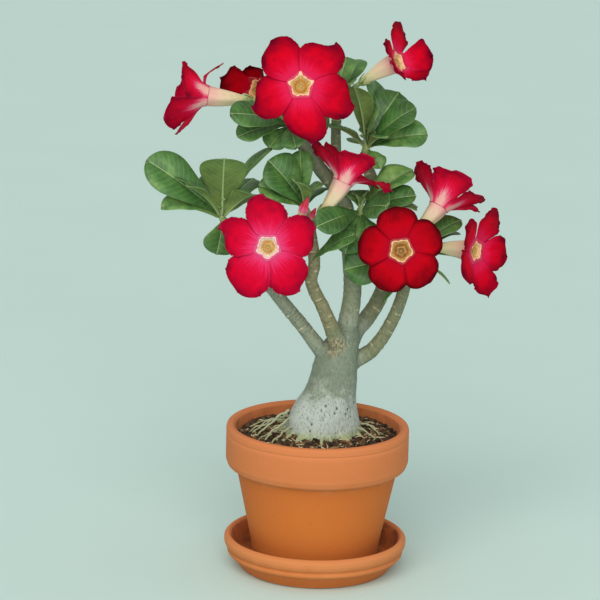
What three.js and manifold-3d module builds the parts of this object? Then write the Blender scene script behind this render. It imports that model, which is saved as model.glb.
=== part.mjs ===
import * as THREE from "three";
import { mergeVertices } from "three/addons/utils/BufferGeometryUtils.js";
import Module from "manifold-3d";

// A desert rose (Adenium) in a terracotta pot that stands on its saucer.
// Millimetres, +Z up. The origin is the centre of the saucer's underside,
// -Y is the front and +X is on the right as seen from the front.

const wasm = await Module();
wasm.setup();

// Driving dimensions
const GAP = 0.35;
const SIDES = 28;
const RIM_RADIUS = 70;
const RIM_TOP = 113.7;
const RIM_WALL = 6.5;
const COLLAR_FOOT = 82.4;
const POT_FOOT_RADIUS = 43;
const SAUCER_RADIUS = 70;
const SAUCER_HEIGHT = 26.2;
const SAUCER_FLOOR = 7;
const SAUCER_FLOOR_RADIUS = 52;
const SAUCER_FOOT_RADIUS = 57.2;
const POT_FLOOR = SAUCER_FLOOR + 8;
const DRAIN_RADIUS = 9;
const SOIL_TOP = 105.6;
const SOIL_MOUND = 5;
const LEAF_THICKNESS = 0.9;
const PETAL_THICKNESS = 1;
const TUBE_MOUTH = 8;
const TUBE_WALL = 1;
const STAR_POINT = 10.8;
const STAR_RISE = 1.7;

const material = (color, roughness) => new THREE.MeshStandardMaterial({ color, roughness, metalness: 0 });
const terracotta = material(0xc88350, 0.85);
const wetTerracotta = material(0xbd7846, 0.85);
const soilMix = material(0x3c2819, 0.95);
const bark = material(0xa5af9f, 0.75);
const leafGreen = material(0x4b7832, 0.5);
const petalRed = material(0xd9042f, 0.6);
const tubeCream = material(0xe6bd94, 0.6);

const at = (x, y, z) => new THREE.Vector3(x, y, z);
const point = (list) => new THREE.Vector3(...list);
const turn = (degrees) => THREE.MathUtils.degToRad(degrees);
const mix = THREE.MathUtils.lerp;
const smooth = (value) => THREE.MathUtils.smoothstep(value, 0, 1);

// Makes one closed solid from a list of triangle corners.
function solid(corners) {
  const geometry = new THREE.BufferGeometry();
  const numbers = corners.flatMap((corner) => corner.toArray());
  geometry.setAttribute("position", new THREE.Float32BufferAttribute(numbers, 3));
  const merged = mergeVertices(geometry, 1e-4);
  return new wasm.Manifold(new wasm.Mesh({
    numProp: 3,
    vertProperties: new Float32Array(merged.attributes.position.array),
    triVerts: new Uint32Array(merged.index.array),
  }));
}

// Joins solids, and keeps the largest body if a scrap comes loose.
function join(solids) {
  const joined = solids.reduce((sum, next) => sum.add(next));
  return largest(joined);
}

function largest(body) {
  const pieces = body.decompose();
  return pieces.reduce((best, piece) => (piece.volume() > best.volume() ? piece : best));
}

// Skins rings that have the same number of points, counterclockwise about the
// way the row of rings runs, and closes both ends round their middles.
function loft(rings) {
  const corners = [];
  const count = rings[0].length;
  for (let row = 0; row + 1 < rings.length; row++) {
    for (let k = 0; k < count; k++) {
      const next = (k + 1) % count;
      const [a, b] = [rings[row][k], rings[row][next]];
      const [c, d] = [rings[row + 1][next], rings[row + 1][k]];
      corners.push(a, b, c, a, c, d);
    }
  }
  const middle = (ring) => ring.reduce((sum, p) => sum.add(p), at(0, 0, 0)).divideScalar(count);
  const [first, last] = [rings[0], rings.at(-1)];
  const [start, end] = [middle(first), middle(last)];
  for (let k = 0; k < count; k++) {
    const next = (k + 1) % count;
    corners.push(start, first[next], first[k]);
    corners.push(end, last[k], last[next]);
  }
  return solid(corners);
}

function circle(radius, z, sides = SIDES) {
  return Array.from({ length: sides }, (_, k) => {
    const angle = turn(360 * k / sides);
    return at(radius * Math.cos(angle), radius * Math.sin(angle), z);
  });
}

// Turned work: each profile point is a radius and a height, from the foot's
// middle round the outside to the middle of the inner floor.
const turned = (profile) => loft(profile.map(([radius, z]) => circle(radius, z)));

// A round rod along points, with a radius given at each of them.
function rod(points, radii, sides, steps, grow = 0) {
  const curve = new THREE.CatmullRomCurve3(points.map(point), false, "centripetal");
  const frames = curve.computeFrenetFrames(steps, false);
  const rings = [];
  for (let i = 0; i <= steps; i++) {
    const share = i / steps;
    const slot = Math.min(Math.floor(share * (radii.length - 1)), radii.length - 2);
    const radius = mix(radii[slot], radii[slot + 1], share * (radii.length - 1) - slot) + grow;
    const lengthen = grow * ((i === steps) - (i === 0));
    const middle = curve.getPointAt(share).addScaledVector(frames.tangents[i], lengthen);
    rings.push(Array.from({ length: sides }, (_, k) => {
      const angle = turn(360 * k / sides);
      const side = frames.normals[i].clone().multiplyScalar(Math.cos(angle) * radius);
      side.addScaledVector(frames.binormals[i], Math.sin(angle) * radius);
      return middle.clone().add(side);
    }));
  }
  return loft(rings);
}

// A curved blade of even thickness round a grid of points, its rows along the
// blade and its columns across it. Both faces are split into triangles alike.
function blade(grid, thickness) {
  const lastRow = grid.length - 1;
  const lastColumn = grid[0].length - 1;
  const face = (side) => grid.map((row, i) => row.map((middle, j) => {
    const along = grid[Math.min(i + 1, lastRow)][j].clone().sub(grid[Math.max(i - 1, 0)][j]);
    const across = row[Math.min(j + 1, lastColumn)].clone().sub(row[Math.max(j - 1, 0)]);
    return middle.clone().addScaledVector(across.cross(along).normalize(), side * thickness / 2);
  }));
  const [top, under] = [face(1), face(-1)];
  const corners = [];
  for (let i = 0; i < lastRow; i++) {
    for (let j = 0; j < lastColumn; j++) {
      corners.push(top[i][j], top[i][j + 1], top[i + 1][j + 1]);
      corners.push(top[i][j], top[i + 1][j + 1], top[i + 1][j]);
      corners.push(under[i][j], under[i + 1][j + 1], under[i][j + 1]);
      corners.push(under[i][j], under[i + 1][j], under[i + 1][j + 1]);
    }
  }
  const edge = [];
  for (let j = 0; j < lastColumn; j++) edge.push([0, j]);
  for (let i = 0; i < lastRow; i++) edge.push([i, lastColumn]);
  for (let j = lastColumn; j > 0; j--) edge.push([lastRow, j]);
  for (let i = lastRow; i > 0; i--) edge.push([i, 0]);
  edge.forEach(([i, j], k) => {
    const [m, n] = edge[(k + 1) % edge.length];
    corners.push(top[i][j], under[i][j], under[m][n]);
    corners.push(top[i][j], under[m][n], top[m][n]);
  });
  return solid(corners);
}

// Saucer
const saucer = turned([
  [SAUCER_FOOT_RADIUS - 1.4, 0], [SAUCER_FOOT_RADIUS, 0.6], [64.8, 10],
  [67.4, 11.8], [67.8, 13.6], [66.8, 15.6], [68.8, 17.2], [SAUCER_RADIUS, 20],
  [SAUCER_RADIUS, 23.6], [68.2, 25.6], [66.6, SAUCER_HEIGHT], [64.4, 24.4],
  [61.5, 14], [58, 8.6], [SAUCER_FLOOR_RADIUS, SAUCER_FLOOR],
]);

// Pot
const INNER_SLOPE = (RIM_RADIUS - RIM_WALL - POT_FOOT_RADIUS) / (RIM_TOP - POT_FLOOR);
const potInside = (z) => POT_FOOT_RADIUS + (z - POT_FLOOR) * INNER_SLOPE;
const potBody = turned([
  [POT_FOOT_RADIUS, SAUCER_FLOOR], [46.2, 8.4], [48.4, 13], [49.6, 22],
  [61.8, 79.6], [65.6, 80.4], [68.5, COLLAR_FOOT], [RIM_RADIUS, 86.6],
  [RIM_RADIUS, 106.2], [69.3, 107.2], [RIM_RADIUS, 108.2],
  [RIM_RADIUS, 110.8], [69.2, 112.9], [67.6, RIM_TOP], [65.4, RIM_TOP],
  [potInside(RIM_TOP - 2), RIM_TOP - 2], [potInside(POT_FLOOR), POT_FLOOR],
]);
const drain = loft([circle(DRAIN_RADIUS, SAUCER_FLOOR - 2, 16), circle(DRAIN_RADIUS, POT_FLOOR + 2, 16)]);
const pot = potBody.subtract(drain);

// Swollen trunk: height, middle across, middle in depth and the two radii.
const TRUNK_RINGS = [
  [58, 5, 2, 8, 8], [78, 4.2, 2, 19, 18], [94, 3.6, 1, 27, 25], [105, 3.2, 0, 28.8, 27.4],
  [114, 3, 0, 28.2, 26.8], [122, 3.6, 0, 26.4, 25.6], [130, 5.2, 0, 23.8, 23.6],
  [140, 8.8, 0, 20.2, 20.8], [152.5, 11.6, 0, 17.9, 18.6], [163, 12.8, 0, 16.4, 17.6],
  [172, 14.5, 1, 15, 16.4], [180.5, 17.5, 2, 12.6, 14], [189, 20, 3, 8, 9.5],
];
const TRUNK_SIDES = 16;

function swollenTrunk(grow) {
  return loft(TRUNK_RINGS.map(([z, x, y, across, deep], row) => {
    return Array.from({ length: TRUNK_SIDES }, (_, k) => {
      const angle = turn(360 * k / TRUNK_SIDES);
      const bulge = 1 + 0.035 * Math.sin(3 * angle + 0.5 * row) + 0.02 * Math.sin(5 * angle - 0.8 * row);
      const side = at(across * bulge * Math.cos(angle), deep * bulge * Math.sin(angle), 0);
      return side.add(side.clone().normalize().multiplyScalar(grow)).add(at(x, y, row === 0 ? z - grow : z));
    });
  }));
}

// Bare branches: points along each, radii along it and the number of steps.
const BRANCHES = {
  left: {
    points: [[10, 0, 160], [2, -2, 171], [-13.5, -6, 192], [-31, -10, 214], [-49, -12, 237], [-65, -12, 260]],
    radii: [6.4, 5.6, 5.4, 5, 4.8, 4.6],
    steps: 8,
  },
  mid: {
    points: [[18, -2, 170], [13, -10, 182], [2, -18, 209], [-8, -20, 231], [-6, -20, 244], [-10, -16, 272]],
    radii: [7, 6, 5.2, 4.8, 4.6, 4.4],
    steps: 9,
  },
  main: {
    points: [
      [18, 1, 174], [20, 2, 188], [23.5, 4, 218], [21, 6, 250],
      [17, 8, 280], [9, 8, 297], [-2, 6, 310], [-13, 2, 326], [-20, 0, 335],
    ],
    radii: [8.5, 7.4, 7, 6.8, 6.6, 6, 5.4, 5],
    steps: 13,
  },
  high: {
    points: [
      [22, 6, 174], [27, 12, 185], [35, 20, 192.5], [45, 26, 208.5],
      [50.5, 28, 235], [44, 26, 280], [31, 20, 314],
    ],
    radii: [7, 6.4, 6, 5.6, 5.2, 4.8, 4.6],
    steps: 11,
  },
  right: {
    points: [[17, 3, 152], [25, 4, 162], [40, 2, 173], [54, 0, 196], [62, -2, 220], [65, -2, 240]],
    radii: [7, 6, 5.4, 5, 4.8, 4.6],
    steps: 8,
  },
  back: {
    points: [[9, 10, 294], [9, 19, 314], [8, 23, 330], [8, 25, 346]],
    radii: [4.8, 4.2, 4, 3.8],
    steps: 4,
  },
  heart: {
    points: [[20, 6, 262], [25, 1, 270], [27, -1, 276]],
    radii: [4.6, 4.2, 4],
    steps: 2,
  },
};
const BRANCH_SIDES = 8;

// Roots that leave the foot of the trunk and lie half sunk along the soil:
// direction in degrees, reach from the middle of the trunk, sway and radius.
const ROOTS = [
  [176, 52, 10, 1.9], [200, 50, -12, 1.6], [216, 55, 8, 2], [244, 46, -8, 1.6],
  [280, 44, 9, 1.7], [318, 44, -7, 1.9], [358, 46, 8, 1.6],
  [44, 45, -8, 1.7], [88, 50, 9, 1.9], [132, 48, -9, 1.7],
];
const TRUNK_FOOT = TRUNK_RINGS[3];

function surfaceRoot([degrees, reach, sway, radius], grow) {
  const place = (share, z) => {
    const angle = turn(degrees + sway * share);
    const out = mix(TRUNK_FOOT[3] - 8, reach, share);
    return [TRUNK_FOOT[1] + out * Math.cos(angle), TRUNK_FOOT[2] + out * Math.sin(angle), z];
  };
  const points = [
    place(0, SOIL_TOP + 7), place(0.34, SOIL_TOP + 4),
    place(0.7, SOIL_TOP + 0.6), place(1, SOIL_TOP - 4),
  ];
  return rod(points, [radius * 1.7, radius * 1.2, radius, radius * 0.7], 5, 4, grow);
}

const inSoil = (grow) => join([swollenTrunk(grow), ...ROOTS.map((root) => surfaceRoot(root, grow))]);
const branchRod = ({ points, radii, steps }) => rod(points, radii, BRANCH_SIDES, steps);
const trunk = join([inSoil(0), ...Object.values(BRANCHES).map(branchRod)]);

// Soil: a filled cone with a lumpy, slightly mounded top.
const SOIL_RINGS = [60.6, 54, 46, 37, 25, 10];

function soilHeight(x, y) {
  const radius = Math.hypot(x, y);
  const mound = SOIL_MOUND * (1 - smooth(radius / 58));
  const lumps = 0.7 * Math.sin(0.31 * x + 1.2) * Math.cos(0.27 * y) + 0.5 * Math.sin(0.53 * x - 0.47 * y);
  return SOIL_TOP + mound + lumps;
}

function soilFill() {
  const inside = (z) => potInside(z) - GAP;
  const foot = [circle(inside(POT_FLOOR + GAP), POT_FLOOR + GAP), circle(inside(SOIL_TOP - 2), SOIL_TOP - 2)];
  const top = SOIL_RINGS.map((radius) => circle(radius, 0).map((p) => p.setZ(soilHeight(p.x, p.y))));
  return loft([...foot, ...top]);
}
const soil = largest(soilFill().subtract(inSoil(GAP)));

// Leaves: each row is the tip from the heart of its tuft (x, y, z), the width,
// the roll of its upper face towards the front in degrees, the fold of its two
// halves in degrees and the arch in shares of the length.
const LEAF_STATIONS = [0, 0.36, 0.64, 0.87, 1];
const PLAIN_STATIONS = [0, 0.45, 0.82, 1];
const LEAF_SHARES = [-1, 0, 1];
const LEAF_START = 2.4;

function leafHalfWidth(share, width) {
  const outline = Math.pow(share, 1.15) * Math.pow(1 - Math.pow(share, 4), 0.6) / 0.572;
  return Math.max(width / 2 * outline, 1.1);
}

function leaf(heart, up, [x, y, z, width, roll = 0, fold = 14, arch = 0.07], stations = LEAF_STATIONS) {
  const reach = at(x, y, z);
  const along = reach.clone().normalize();
  const face = up.clone().addScaledVector(along, -up.dot(along)).normalize();
  face.applyAxisAngle(along, turn(x < 0 ? -roll : roll));
  const across = along.clone().cross(face);
  return blade(stations.map((share) => {
    const half = leafHalfWidth(share, width);
    const rib = heart.clone().addScaledVector(along, mix(LEAF_START, reach.length(), share));
    rib.addScaledVector(face, arch * reach.length() * 4 * share * (1 - share));
    return LEAF_SHARES.map((side) => {
      const out = rib.clone().addScaledVector(across, side * half * Math.cos(turn(fold)));
      return out.addScaledVector(face, Math.abs(side) * half * Math.sin(turn(fold)));
    });
  }), LEAF_THICKNESS);
}

// A fan of plain leaves on the side of a tuft that faces away from the front.
function backFan({ from, to, count, rise, length, width }) {
  return Array.from({ length: count }, (_, k) => {
    const angle = turn(mix(from, to, count > 1 ? k / (count - 1) : 0.5));
    const tilt = turn(rise + 16 * Math.sin(2.4 * k));
    const reach = length * (1 + 0.1 * Math.sin(5 * k));
    const flat = reach * Math.cos(tilt);
    return [flat * Math.cos(angle), flat * Math.sin(angle), reach * Math.sin(tilt), width, 0];
  });
}

// Blooms: mouth of the tube, foot of the tube, the way it faces, the phase of
// its petals in degrees and their breadth in shares of their reach. Each petal
// is a row: reach, how far it cups forward in degrees, and how strongly its tip
// bends back. The first petal lies at the phase and the others follow by fifths.
const BLOOMS = {
  1: {
    mouth: [-92, 0, 367], foot: [-58, 2, 364], facing: [-0.97, -0.04, 0.14], phase: 38, breadth: 0.42,
    petals: [[40, 58, 0.2], [27, 20, 1], [36, 55, 0.1], [40, 36, 0.1], [45, 56, 0.05]],
  },
  2: {
    mouth: [-52, 26, 368], foot: [-31, 30, 353], facing: [-0.66, -0.66, 0.38], phase: 36, breadth: 0.4,
    petals: [[23, 68, 0.1], [23, 68, 0.1], [34, 66, 0.1], [23, 68, 0.1], [23, 68, 0.1]],
  },
  3: {
    mouth: [-19.5, -42, 384], foot: [-20, -10, 362], facing: [0, -0.95, 0.31], phase: 57, breadth: 0.4,
    petals: [[39, 6, 0.1], [39, 6, 0.12], [37, 6, 0.12], [42, 6, 0.16], [41, 6, 0.12]],
  },
  4: {
    mouth: [53, 10, 394], foot: [27, 18, 377], facing: [0.8, -0.36, 0.44], phase: 60, breadth: 0.42,
    petals: [[33, 20, 0.05], [24, 30, 0.4], [23, 44, 0.4], [29, 60, 0.1], [36, 50, 0.15]],
  },
  5: {
    mouth: [15, -22, 311], foot: [-2, -21, 284], facing: [0.4, 0.22, 0.89], phase: 10, breadth: 0.38,
    petals: [[40, 56, 0.2], [42, 40, 0.2], [42, 62, 0.25], [44, 42, 0.5], [41, 32, 0.3]],
  },
  6: {
    mouth: [88, 2, 288], foot: [70, -4, 269], facing: [0.5, 0.4, 0.77], phase: -12, breadth: 0.42,
    petals: [[42, 54, 0.25], [42, 46, 0.2], [44, 58, 0.25], [44, 60, 0.3], [44, 54, 0.3]],
  },
  7: {
    mouth: [58, -44, 262], foot: [61, -15, 252], facing: [-0.05, -0.96, 0.28], phase: 28, breadth: 0.45,
    petals: [[33, 6, 0.2], [34, 6, 0.2], [33.5, 6, 0.2], [33.5, 6, 0.2], [33, 6, 0.2]],
  },
  8: {
    mouth: [115, -10, 255], foot: [83, 3, 254], facing: [0.8, -0.6, 0.04], phase: 60, breadth: 0.42,
    petals: [[38, 28, 0.2], [35, 30, 0.24], [34, 32, 0.24], [38, 28, 0.2], [37, 28, 0.24]],
  },
  9: {
    mouth: [-41, -48, 263], foot: [-33, -22, 263], facing: [-0.05, -0.97, 0.24], phase: 20, breadth: 0.46,
    petals: [[38, 4, 0.12], [39, 4, 0.12], [37, 4, 0.12], [39, 4, 0.12], [38, 4, 0.12]],
  },
};
const BLOOM_SIDES = 10;
const PETALS = 5;
const PETAL_ROOT = 9.2;
const PETAL_SECTOR = 0.94;
const PETAL_STATIONS = [0, 0.3, 0.6, 0.85, 1];
const PETAL_SHARES = [-1, 0, 1];
const UP = at(0, 0, 1);

function bloomAxes({ facing }) {
  const out = point(facing).normalize();
  const up = UP.clone().addScaledVector(out, -UP.dot(out)).normalize();
  return { out, up, right: up.clone().cross(out) };
}

// A place in a bloom's own frame: radius and angle about its axis, height along it.
function inBloom(bloom, radius, degrees, height) {
  const { out, up, right } = bloomAxes(bloom);
  const place = point(bloom.mouth).addScaledVector(out, height);
  place.addScaledVector(right, radius * Math.cos(turn(degrees)));
  return place.addScaledVector(up, radius * Math.sin(turn(degrees)));
}

const bloomRing = (bloom, radius, height) => {
  const corner = (k) => inBloom(bloom, radius(k), bloom.phase + 360 * k / BLOOM_SIDES, height(k));
  return Array.from({ length: BLOOM_SIDES }, (_, k) => corner(k));
};

// One petal as rows of three places from its root outwards, and the ring inside it.
function petalRows(bloom, k) {
  const { out, up, right } = bloomAxes(bloom);
  const angle = turn(bloom.phase + 360 * k / PETALS);
  const outward = right.clone().multiplyScalar(Math.cos(angle)).addScaledVector(up, Math.sin(angle));
  const aside = out.clone().cross(outward);
  const [wholeReach, cup, bend] = bloom.petals[k];
  const length = wholeReach - PETAL_ROOT;
  return PETAL_STATIONS.map((share) => {
    const flat = PETAL_ROOT + length * share * Math.cos(turn(cup));
    const rounded = Math.sqrt(1 - 0.97 * Math.pow(share, 5));
    const full = bloom.breadth * wholeReach * mix(0.36, 1, smooth(share / 0.5)) * rounded;
    const half = Math.min(full, PETAL_SECTOR * flat * Math.tan(turn(180 / PETALS)));
    return PETAL_SHARES.map((side) => {
      if (share === 0 && side !== 0) {
        return inBloom(bloom, PETAL_ROOT, bloom.phase + 360 * k / PETALS + side * 180 / PETALS, 0);
      }
      const pointed = 2 * Math.pow(share, 4) * (1 - Math.abs(side));
      const ruffle = 1.3 * side * side * share * Math.sin(9 * share + 2.5 * side + 1.7 * k);
      const twist = 0.16 * side * half * share;
      const lift = length * (share * Math.sin(turn(cup)) - bend * share * share);
      const place = point(bloom.mouth).addScaledVector(outward, flat + pointed);
      return place.addScaledVector(aside, side * half).addScaledVector(out, lift + twist + ruffle);
    });
  });
}

// The five petals as one skin: they meet at their roots in a ring that is open
// in the middle for the tube, and stand apart beyond it.
function petals(bloom) {
  const { out } = bloomAxes(bloom);
  const inner = TUBE_MOUTH + GAP + 0.1;
  const shift = (place, side) => place.clone().addScaledVector(out, side * PETAL_THICKNESS / 2);
  const corners = [];
  const quad = (a, b, c, d) => corners.push(a, b, c, a, c, d);
  for (let k = 0; k < PETALS; k++) {
    const rows = petalRows(bloom, k);
    const degrees = (side) => bloom.phase + (360 * k + 180 * side) / PETALS;
    const ring = PETAL_SHARES.map((side) => inBloom(bloom, inner, degrees(side), 0));
    const grid = [ring, ...rows];
    const top = grid.map((row) => row.map((place) => shift(place, 1)));
    const under = grid.map((row) => row.map((place) => shift(place, -1)));
    const [last, end] = [grid.length - 1, PETAL_SHARES.length - 1];
    for (let i = 0; i < last; i++) {
      for (let j = 0; j < end; j++) {
        quad(top[i][j], top[i + 1][j], top[i + 1][j + 1], top[i][j + 1]);
        quad(under[i][j + 1], under[i + 1][j + 1], under[i + 1][j], under[i][j]);
      }
      if (i > 0) {
        quad(top[i][0], under[i][0], under[i + 1][0], top[i + 1][0]);
        quad(top[i + 1][end], under[i + 1][end], under[i][end], top[i][end]);
      }
    }
    for (let j = 0; j < end; j++) {
      quad(top[0][j + 1], under[0][j + 1], under[0][j], top[0][j]);
      quad(top[last][j], under[last][j], under[last][j + 1], top[last][j + 1]);
    }
  }
  return solid(corners);
}

// The bent middle line of a bloom's tube, from its foot to its mouth.
function tubeCurve(bloom) {
  const [foot, mouth] = [point(bloom.foot), point(bloom.mouth)];
  const { out } = bloomAxes(bloom);
  const knee = mouth.clone().addScaledVector(out, -0.45 * mouth.distanceTo(foot));
  return new THREE.QuadraticBezierCurve3(foot, knee, mouth);
}

// The tube: outside up to the mouth, over the five-pointed star, down the
// inside to the throat and up the cone of anthers.
function tube(bloom) {
  const curve = tubeCurve(bloom);
  const { right, up } = bloomAxes(bloom);
  const ringAt = (share, radius) => {
    const middle = curve.getPoint(share);
    const along = curve.getTangent(share);
    const flatRight = right.clone().addScaledVector(along, -right.dot(along)).normalize();
    const flatUp = along.clone().cross(flatRight);
    return Array.from({ length: BLOOM_SIDES }, (_, k) => {
      const angle = turn(bloom.phase + 360 * k / BLOOM_SIDES);
      const side = flatRight.clone().multiplyScalar(radius * Math.cos(angle));
      return middle.clone().add(side).addScaledVector(flatUp, radius * Math.sin(angle));
    });
  };
  const cup = (k) => turn(bloom.petals[(k + PETALS) % PETALS][1]);
  const steepest = (k) => Math.max(cup((k - 1) / 2), cup((k + 1) / 2));
  const starRadius = (k) => (k % 2 ? STAR_POINT : PETAL_ROOT);
  const starRise = (k) => STAR_RISE + (k % 2 ? (STAR_POINT - PETAL_ROOT) * Math.tan(steepest(k)) : 0);
  return loft([
    ringAt(0, 2.3), ringAt(0.36, 3.8), ringAt(0.76, 7),
    bloomRing(bloom, () => TUBE_MOUTH, () => 0.9),
    bloomRing(bloom, starRadius, starRise),
    bloomRing(bloom, () => TUBE_MOUTH - 0.6, () => 1.2),
    ringAt(0.5, 4.8 - TUBE_WALL), ringAt(0.52, 1.8), ringAt(0.9, 0.7),
  ]);
}

// A flower stalk from the heart of a tuft, widening to a calyx of five pointed
// sepals that stands round the foot of a tube or bud.
function stalk(heart, foot, along, size = 1) {
  const root = foot.clone().addScaledVector(along, -3.4 * size);
  const bend = root.clone().addScaledVector(along, -Math.min(6, 0.3 * heart.distanceTo(root)));
  const across = Math.abs(along.z) > 0.9 ? at(1, 0, 0) : UP.clone().cross(along).normalize();
  const ring = (middle, way, radius, [sepal, between] = [0, 0]) => {
    const flat = across.clone().addScaledVector(way, -across.dot(way)).normalize();
    const up = way.clone().cross(flat);
    return Array.from({ length: BLOOM_SIDES }, (_, k) => {
      const angle = turn(360 * k / BLOOM_SIDES);
      const place = middle.clone().addScaledVector(way, size * (k % 2 ? between : sepal));
      place.addScaledVector(flat, size * radius * Math.cos(angle));
      return place.addScaledVector(up, size * radius * Math.sin(angle));
    });
  };
  const leaving = bend.clone().sub(heart).normalize();
  const turning = leaving.clone().add(along).normalize();
  return loft([
    ring(heart, leaving, 1.8), ring(bend, turning, 1.5), ring(root, along, 1.8),
    ring(foot, along, 4.5, [4.4, 0.6]), ring(foot, along, 3.8, [3.6, 0.4]),
    ring(foot, along, 2.9, [-0.6, -0.6]),
  ]);
}

const BUDS = {
  1: { foot: [-18, -33, 280], tip: [-12, -36, 299], radius: 3.6 },
  2: { foot: [-11, -25, 277], tip: [-6, -27, 289], radius: 2.4 },
};

function bud({ foot, tip, radius }) {
  const [start, end] = [point(foot), point(tip)];
  const place = (share) => start.clone().lerp(end, share).toArray();
  const points = [0, 0.25, 0.5, 0.75, 1].map(place);
  return rod(points, [0.4, 0.85, 1, 0.62, 0.14].map((share) => share * radius), 7, 5);
}

// Leafy tips: the heart that the leaves spread from, the end of the branch
// below it, the leaves, and the blooms and buds that it carries.
const TUFTS = {
  leaves_left: {
    heart: [-76, -12, 276], branch: "left", blooms: [], buds: [],
    leaves: [
      [-58, -14, 46, 33, 62], [0, -26, 52, 35, 0], [-28, -24, 31, 20, 10, 30],
      [-46, -22, 13, 28, 20, 26], [-4, -14, -26, 26, 40], [37, 6, 55, 26, 0, 20],
      [25, -16, 24, 24, -30],
    ],
    behind: { from: 60, to: 190, count: 4, rise: 28, length: 50, width: 26 },
  },
  leaves_mid: {
    heart: [-14, -16, 286], branch: "mid", blooms: [5, 9], buds: [1, 2],
    leaves: [
      [-29, -8, 38, 35, 62], [-9, -26, 28, 22, 30, 24], [-6, 8, 44, 20, 40],
      [-36, -10, 20, 28, 45], [11, 2, 22, 20, 0],
    ],
    behind: { from: 80, to: 170, count: 2, rise: 10, length: 42, width: 24 },
  },
  leaves_top: {
    heart: [-27, 4, 345], branch: "main", blooms: [1, 2, 3], buds: [],
    leaves: [
      [-40, -24, -5, 22, 25], [-44, -36, 14, 24, 45], [-10, 22, -4, 22, 0],
      [6, -34, -9, 22, 20], [-14, -20, -14, 20, 20],
    ],
    behind: { from: 88, to: 118, count: 2, rise: -12, length: 46, width: 26 },
  },
  leaves_back: {
    heart: [9, 27, 358], branch: "back", blooms: [4], buds: [],
    leaves: [
      [7, 8, 36, 26, 0], [-14, 8, -30, 22, 0], [10, -16, 20, 20, 20],
    ],
    behind: { from: 70, to: 150, count: 3, rise: 35, length: 50, width: 27 },
  },
  leaves_high: {
    heart: [31, 20, 326], branch: "high", blooms: [], buds: [],
    leaves: [
      [4, 20, 51, 40, 75], [8, -12, 36, 25, 70], [24, 14, 42, 32, 40], [38, -6, 33, 30, 35],
      [-12, -20, 52, 22, 0], [47, -10, 14, 28, 40, 20], [15, -18, 14, 16, 0],
      [-28, -16, 20, 24, 0], [12, -14, -13, 15, 20],
    ],
    behind: { from: 15, to: 90, count: 3, rise: 8, length: 48, width: 27 },
  },
  leaves_heart: {
    heart: [28, -3, 282], branch: "heart", blooms: [], buds: [],
    leaves: [
      [39, 14, 31, 33, 15], [42, -8, 14, 26, 30], [20, -30, 12, 26, 50], [-6, 14, 14, 22, 0],
      [-34, -41.5, -3, 22, 50], [-10, -18, -30, 22, 20], [8, -18, -22, 20, 10],
    ],
    behind: { from: 0, to: 28, count: 2, rise: 6, length: 44, width: 24 },
  },
  leaves_right: {
    heart: [66, -2, 248], branch: "right", blooms: [6, 7, 8], buds: [],
    leaves: [
      [40, 14, 26, 24, 20], [42, 20, -6, 26, 0], [33, 8, -24, 10, 0], [-50, -14, -10, 32, 60],
    ],
    behind: { from: 40, to: 82, count: 3, rise: 15, length: 50, width: 27 },
  },
};

function tuft({ heart, branch, leaves, behind, blooms, buds: carried }) {
  const middle = point(heart);
  const [before, end] = BRANCHES[branch].points.slice(-2).map(point);
  const onward = end.clone().sub(before).normalize();
  const tip = middle.clone().add(middle.clone().sub(end).setLength(5));
  const radius = BRANCHES[branch].radii.at(-1);
  const stem = [end.clone().addScaledVector(onward, GAP), end.clone().addScaledVector(onward, 2), middle, tip];
  const parts = [rod(stem.map((place) => place.toArray()), [radius - 0.3, radius - 0.6, 3.2, 1.2], 6, 3)];
  leaves.forEach((row) => parts.push(leaf(middle, UP, row)));
  backFan(behind).forEach((row) => parts.push(leaf(middle, UP, row, PLAIN_STATIONS)));
  blooms.forEach((name) => {
    const foot = point(BLOOMS[name].foot);
    const along = tubeCurve(BLOOMS[name]).getTangent(0);
    parts.push(stalk(middle, foot, along));
  });
  carried.forEach((name) => {
    const foot = point(BUDS[name].foot);
    const along = point(BUDS[name].tip).sub(foot).normalize();
    parts.push(stalk(middle, foot, along, 0.8));
  });
  return join(parts);
}

// Two single leaves that grow from the side of a branch.
const SINGLE_LEAVES = {
  leaf_front: { foot: [-9, -25.2, 247], reach: [34, -6, 24, 20, 30] },
  leaf_low: { foot: [45.8, 18.6, 204], reach: [22, 2, 24, 10, 30] },
};

const group = new THREE.Group();

function add(name, body, look) {
  const mesh = body.getMesh();
  const geometry = new THREE.BufferGeometry();
  const places = new Float32Array(mesh.vertProperties);
  geometry.setAttribute("position", new THREE.BufferAttribute(places, 3));
  geometry.setIndex(new THREE.BufferAttribute(new Uint32Array(mesh.triVerts), 1));
  geometry.computeVertexNormals();
  const node = new THREE.Mesh(geometry, look);
  node.name = name;
  group.add(node);
}

add("saucer", saucer, wetTerracotta);
add("pot", pot, terracotta);
add("soil", soil, soilMix);
add("trunk", trunk, bark);
Object.entries(TUFTS).forEach(([name, shape]) => add(name, tuft(shape), leafGreen));
Object.entries(SINGLE_LEAVES).forEach(([name, { foot, reach }]) => {
  add(name, leaf(point(foot), UP, reach), leafGreen);
});
Object.entries(BLOOMS).forEach(([name, bloom]) => {
  add(`bloom_${name}_petals`, petals(bloom), petalRed);
  add(`bloom_${name}_tube`, tube(bloom), tubeCream);
});
Object.entries(BUDS).forEach(([name, shape]) => add(`bud_${name}`, bud(shape), petalRed));

export default group;
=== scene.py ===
# %% [markdown]
# # A desert rose in a clay pot
#
# The real thing is a young adenium: a trunk that swells with stored water, bare
# branches that end in tufts of leathery leaves, and velvety flowers on short tubes.
# It grows in a terracotta pot that stands on its saucer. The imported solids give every
# place and size, so this lesson works in millimetres in their frame and only turns to
# metres when a mesh is written.

# %% Load the frame
import math

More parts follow.
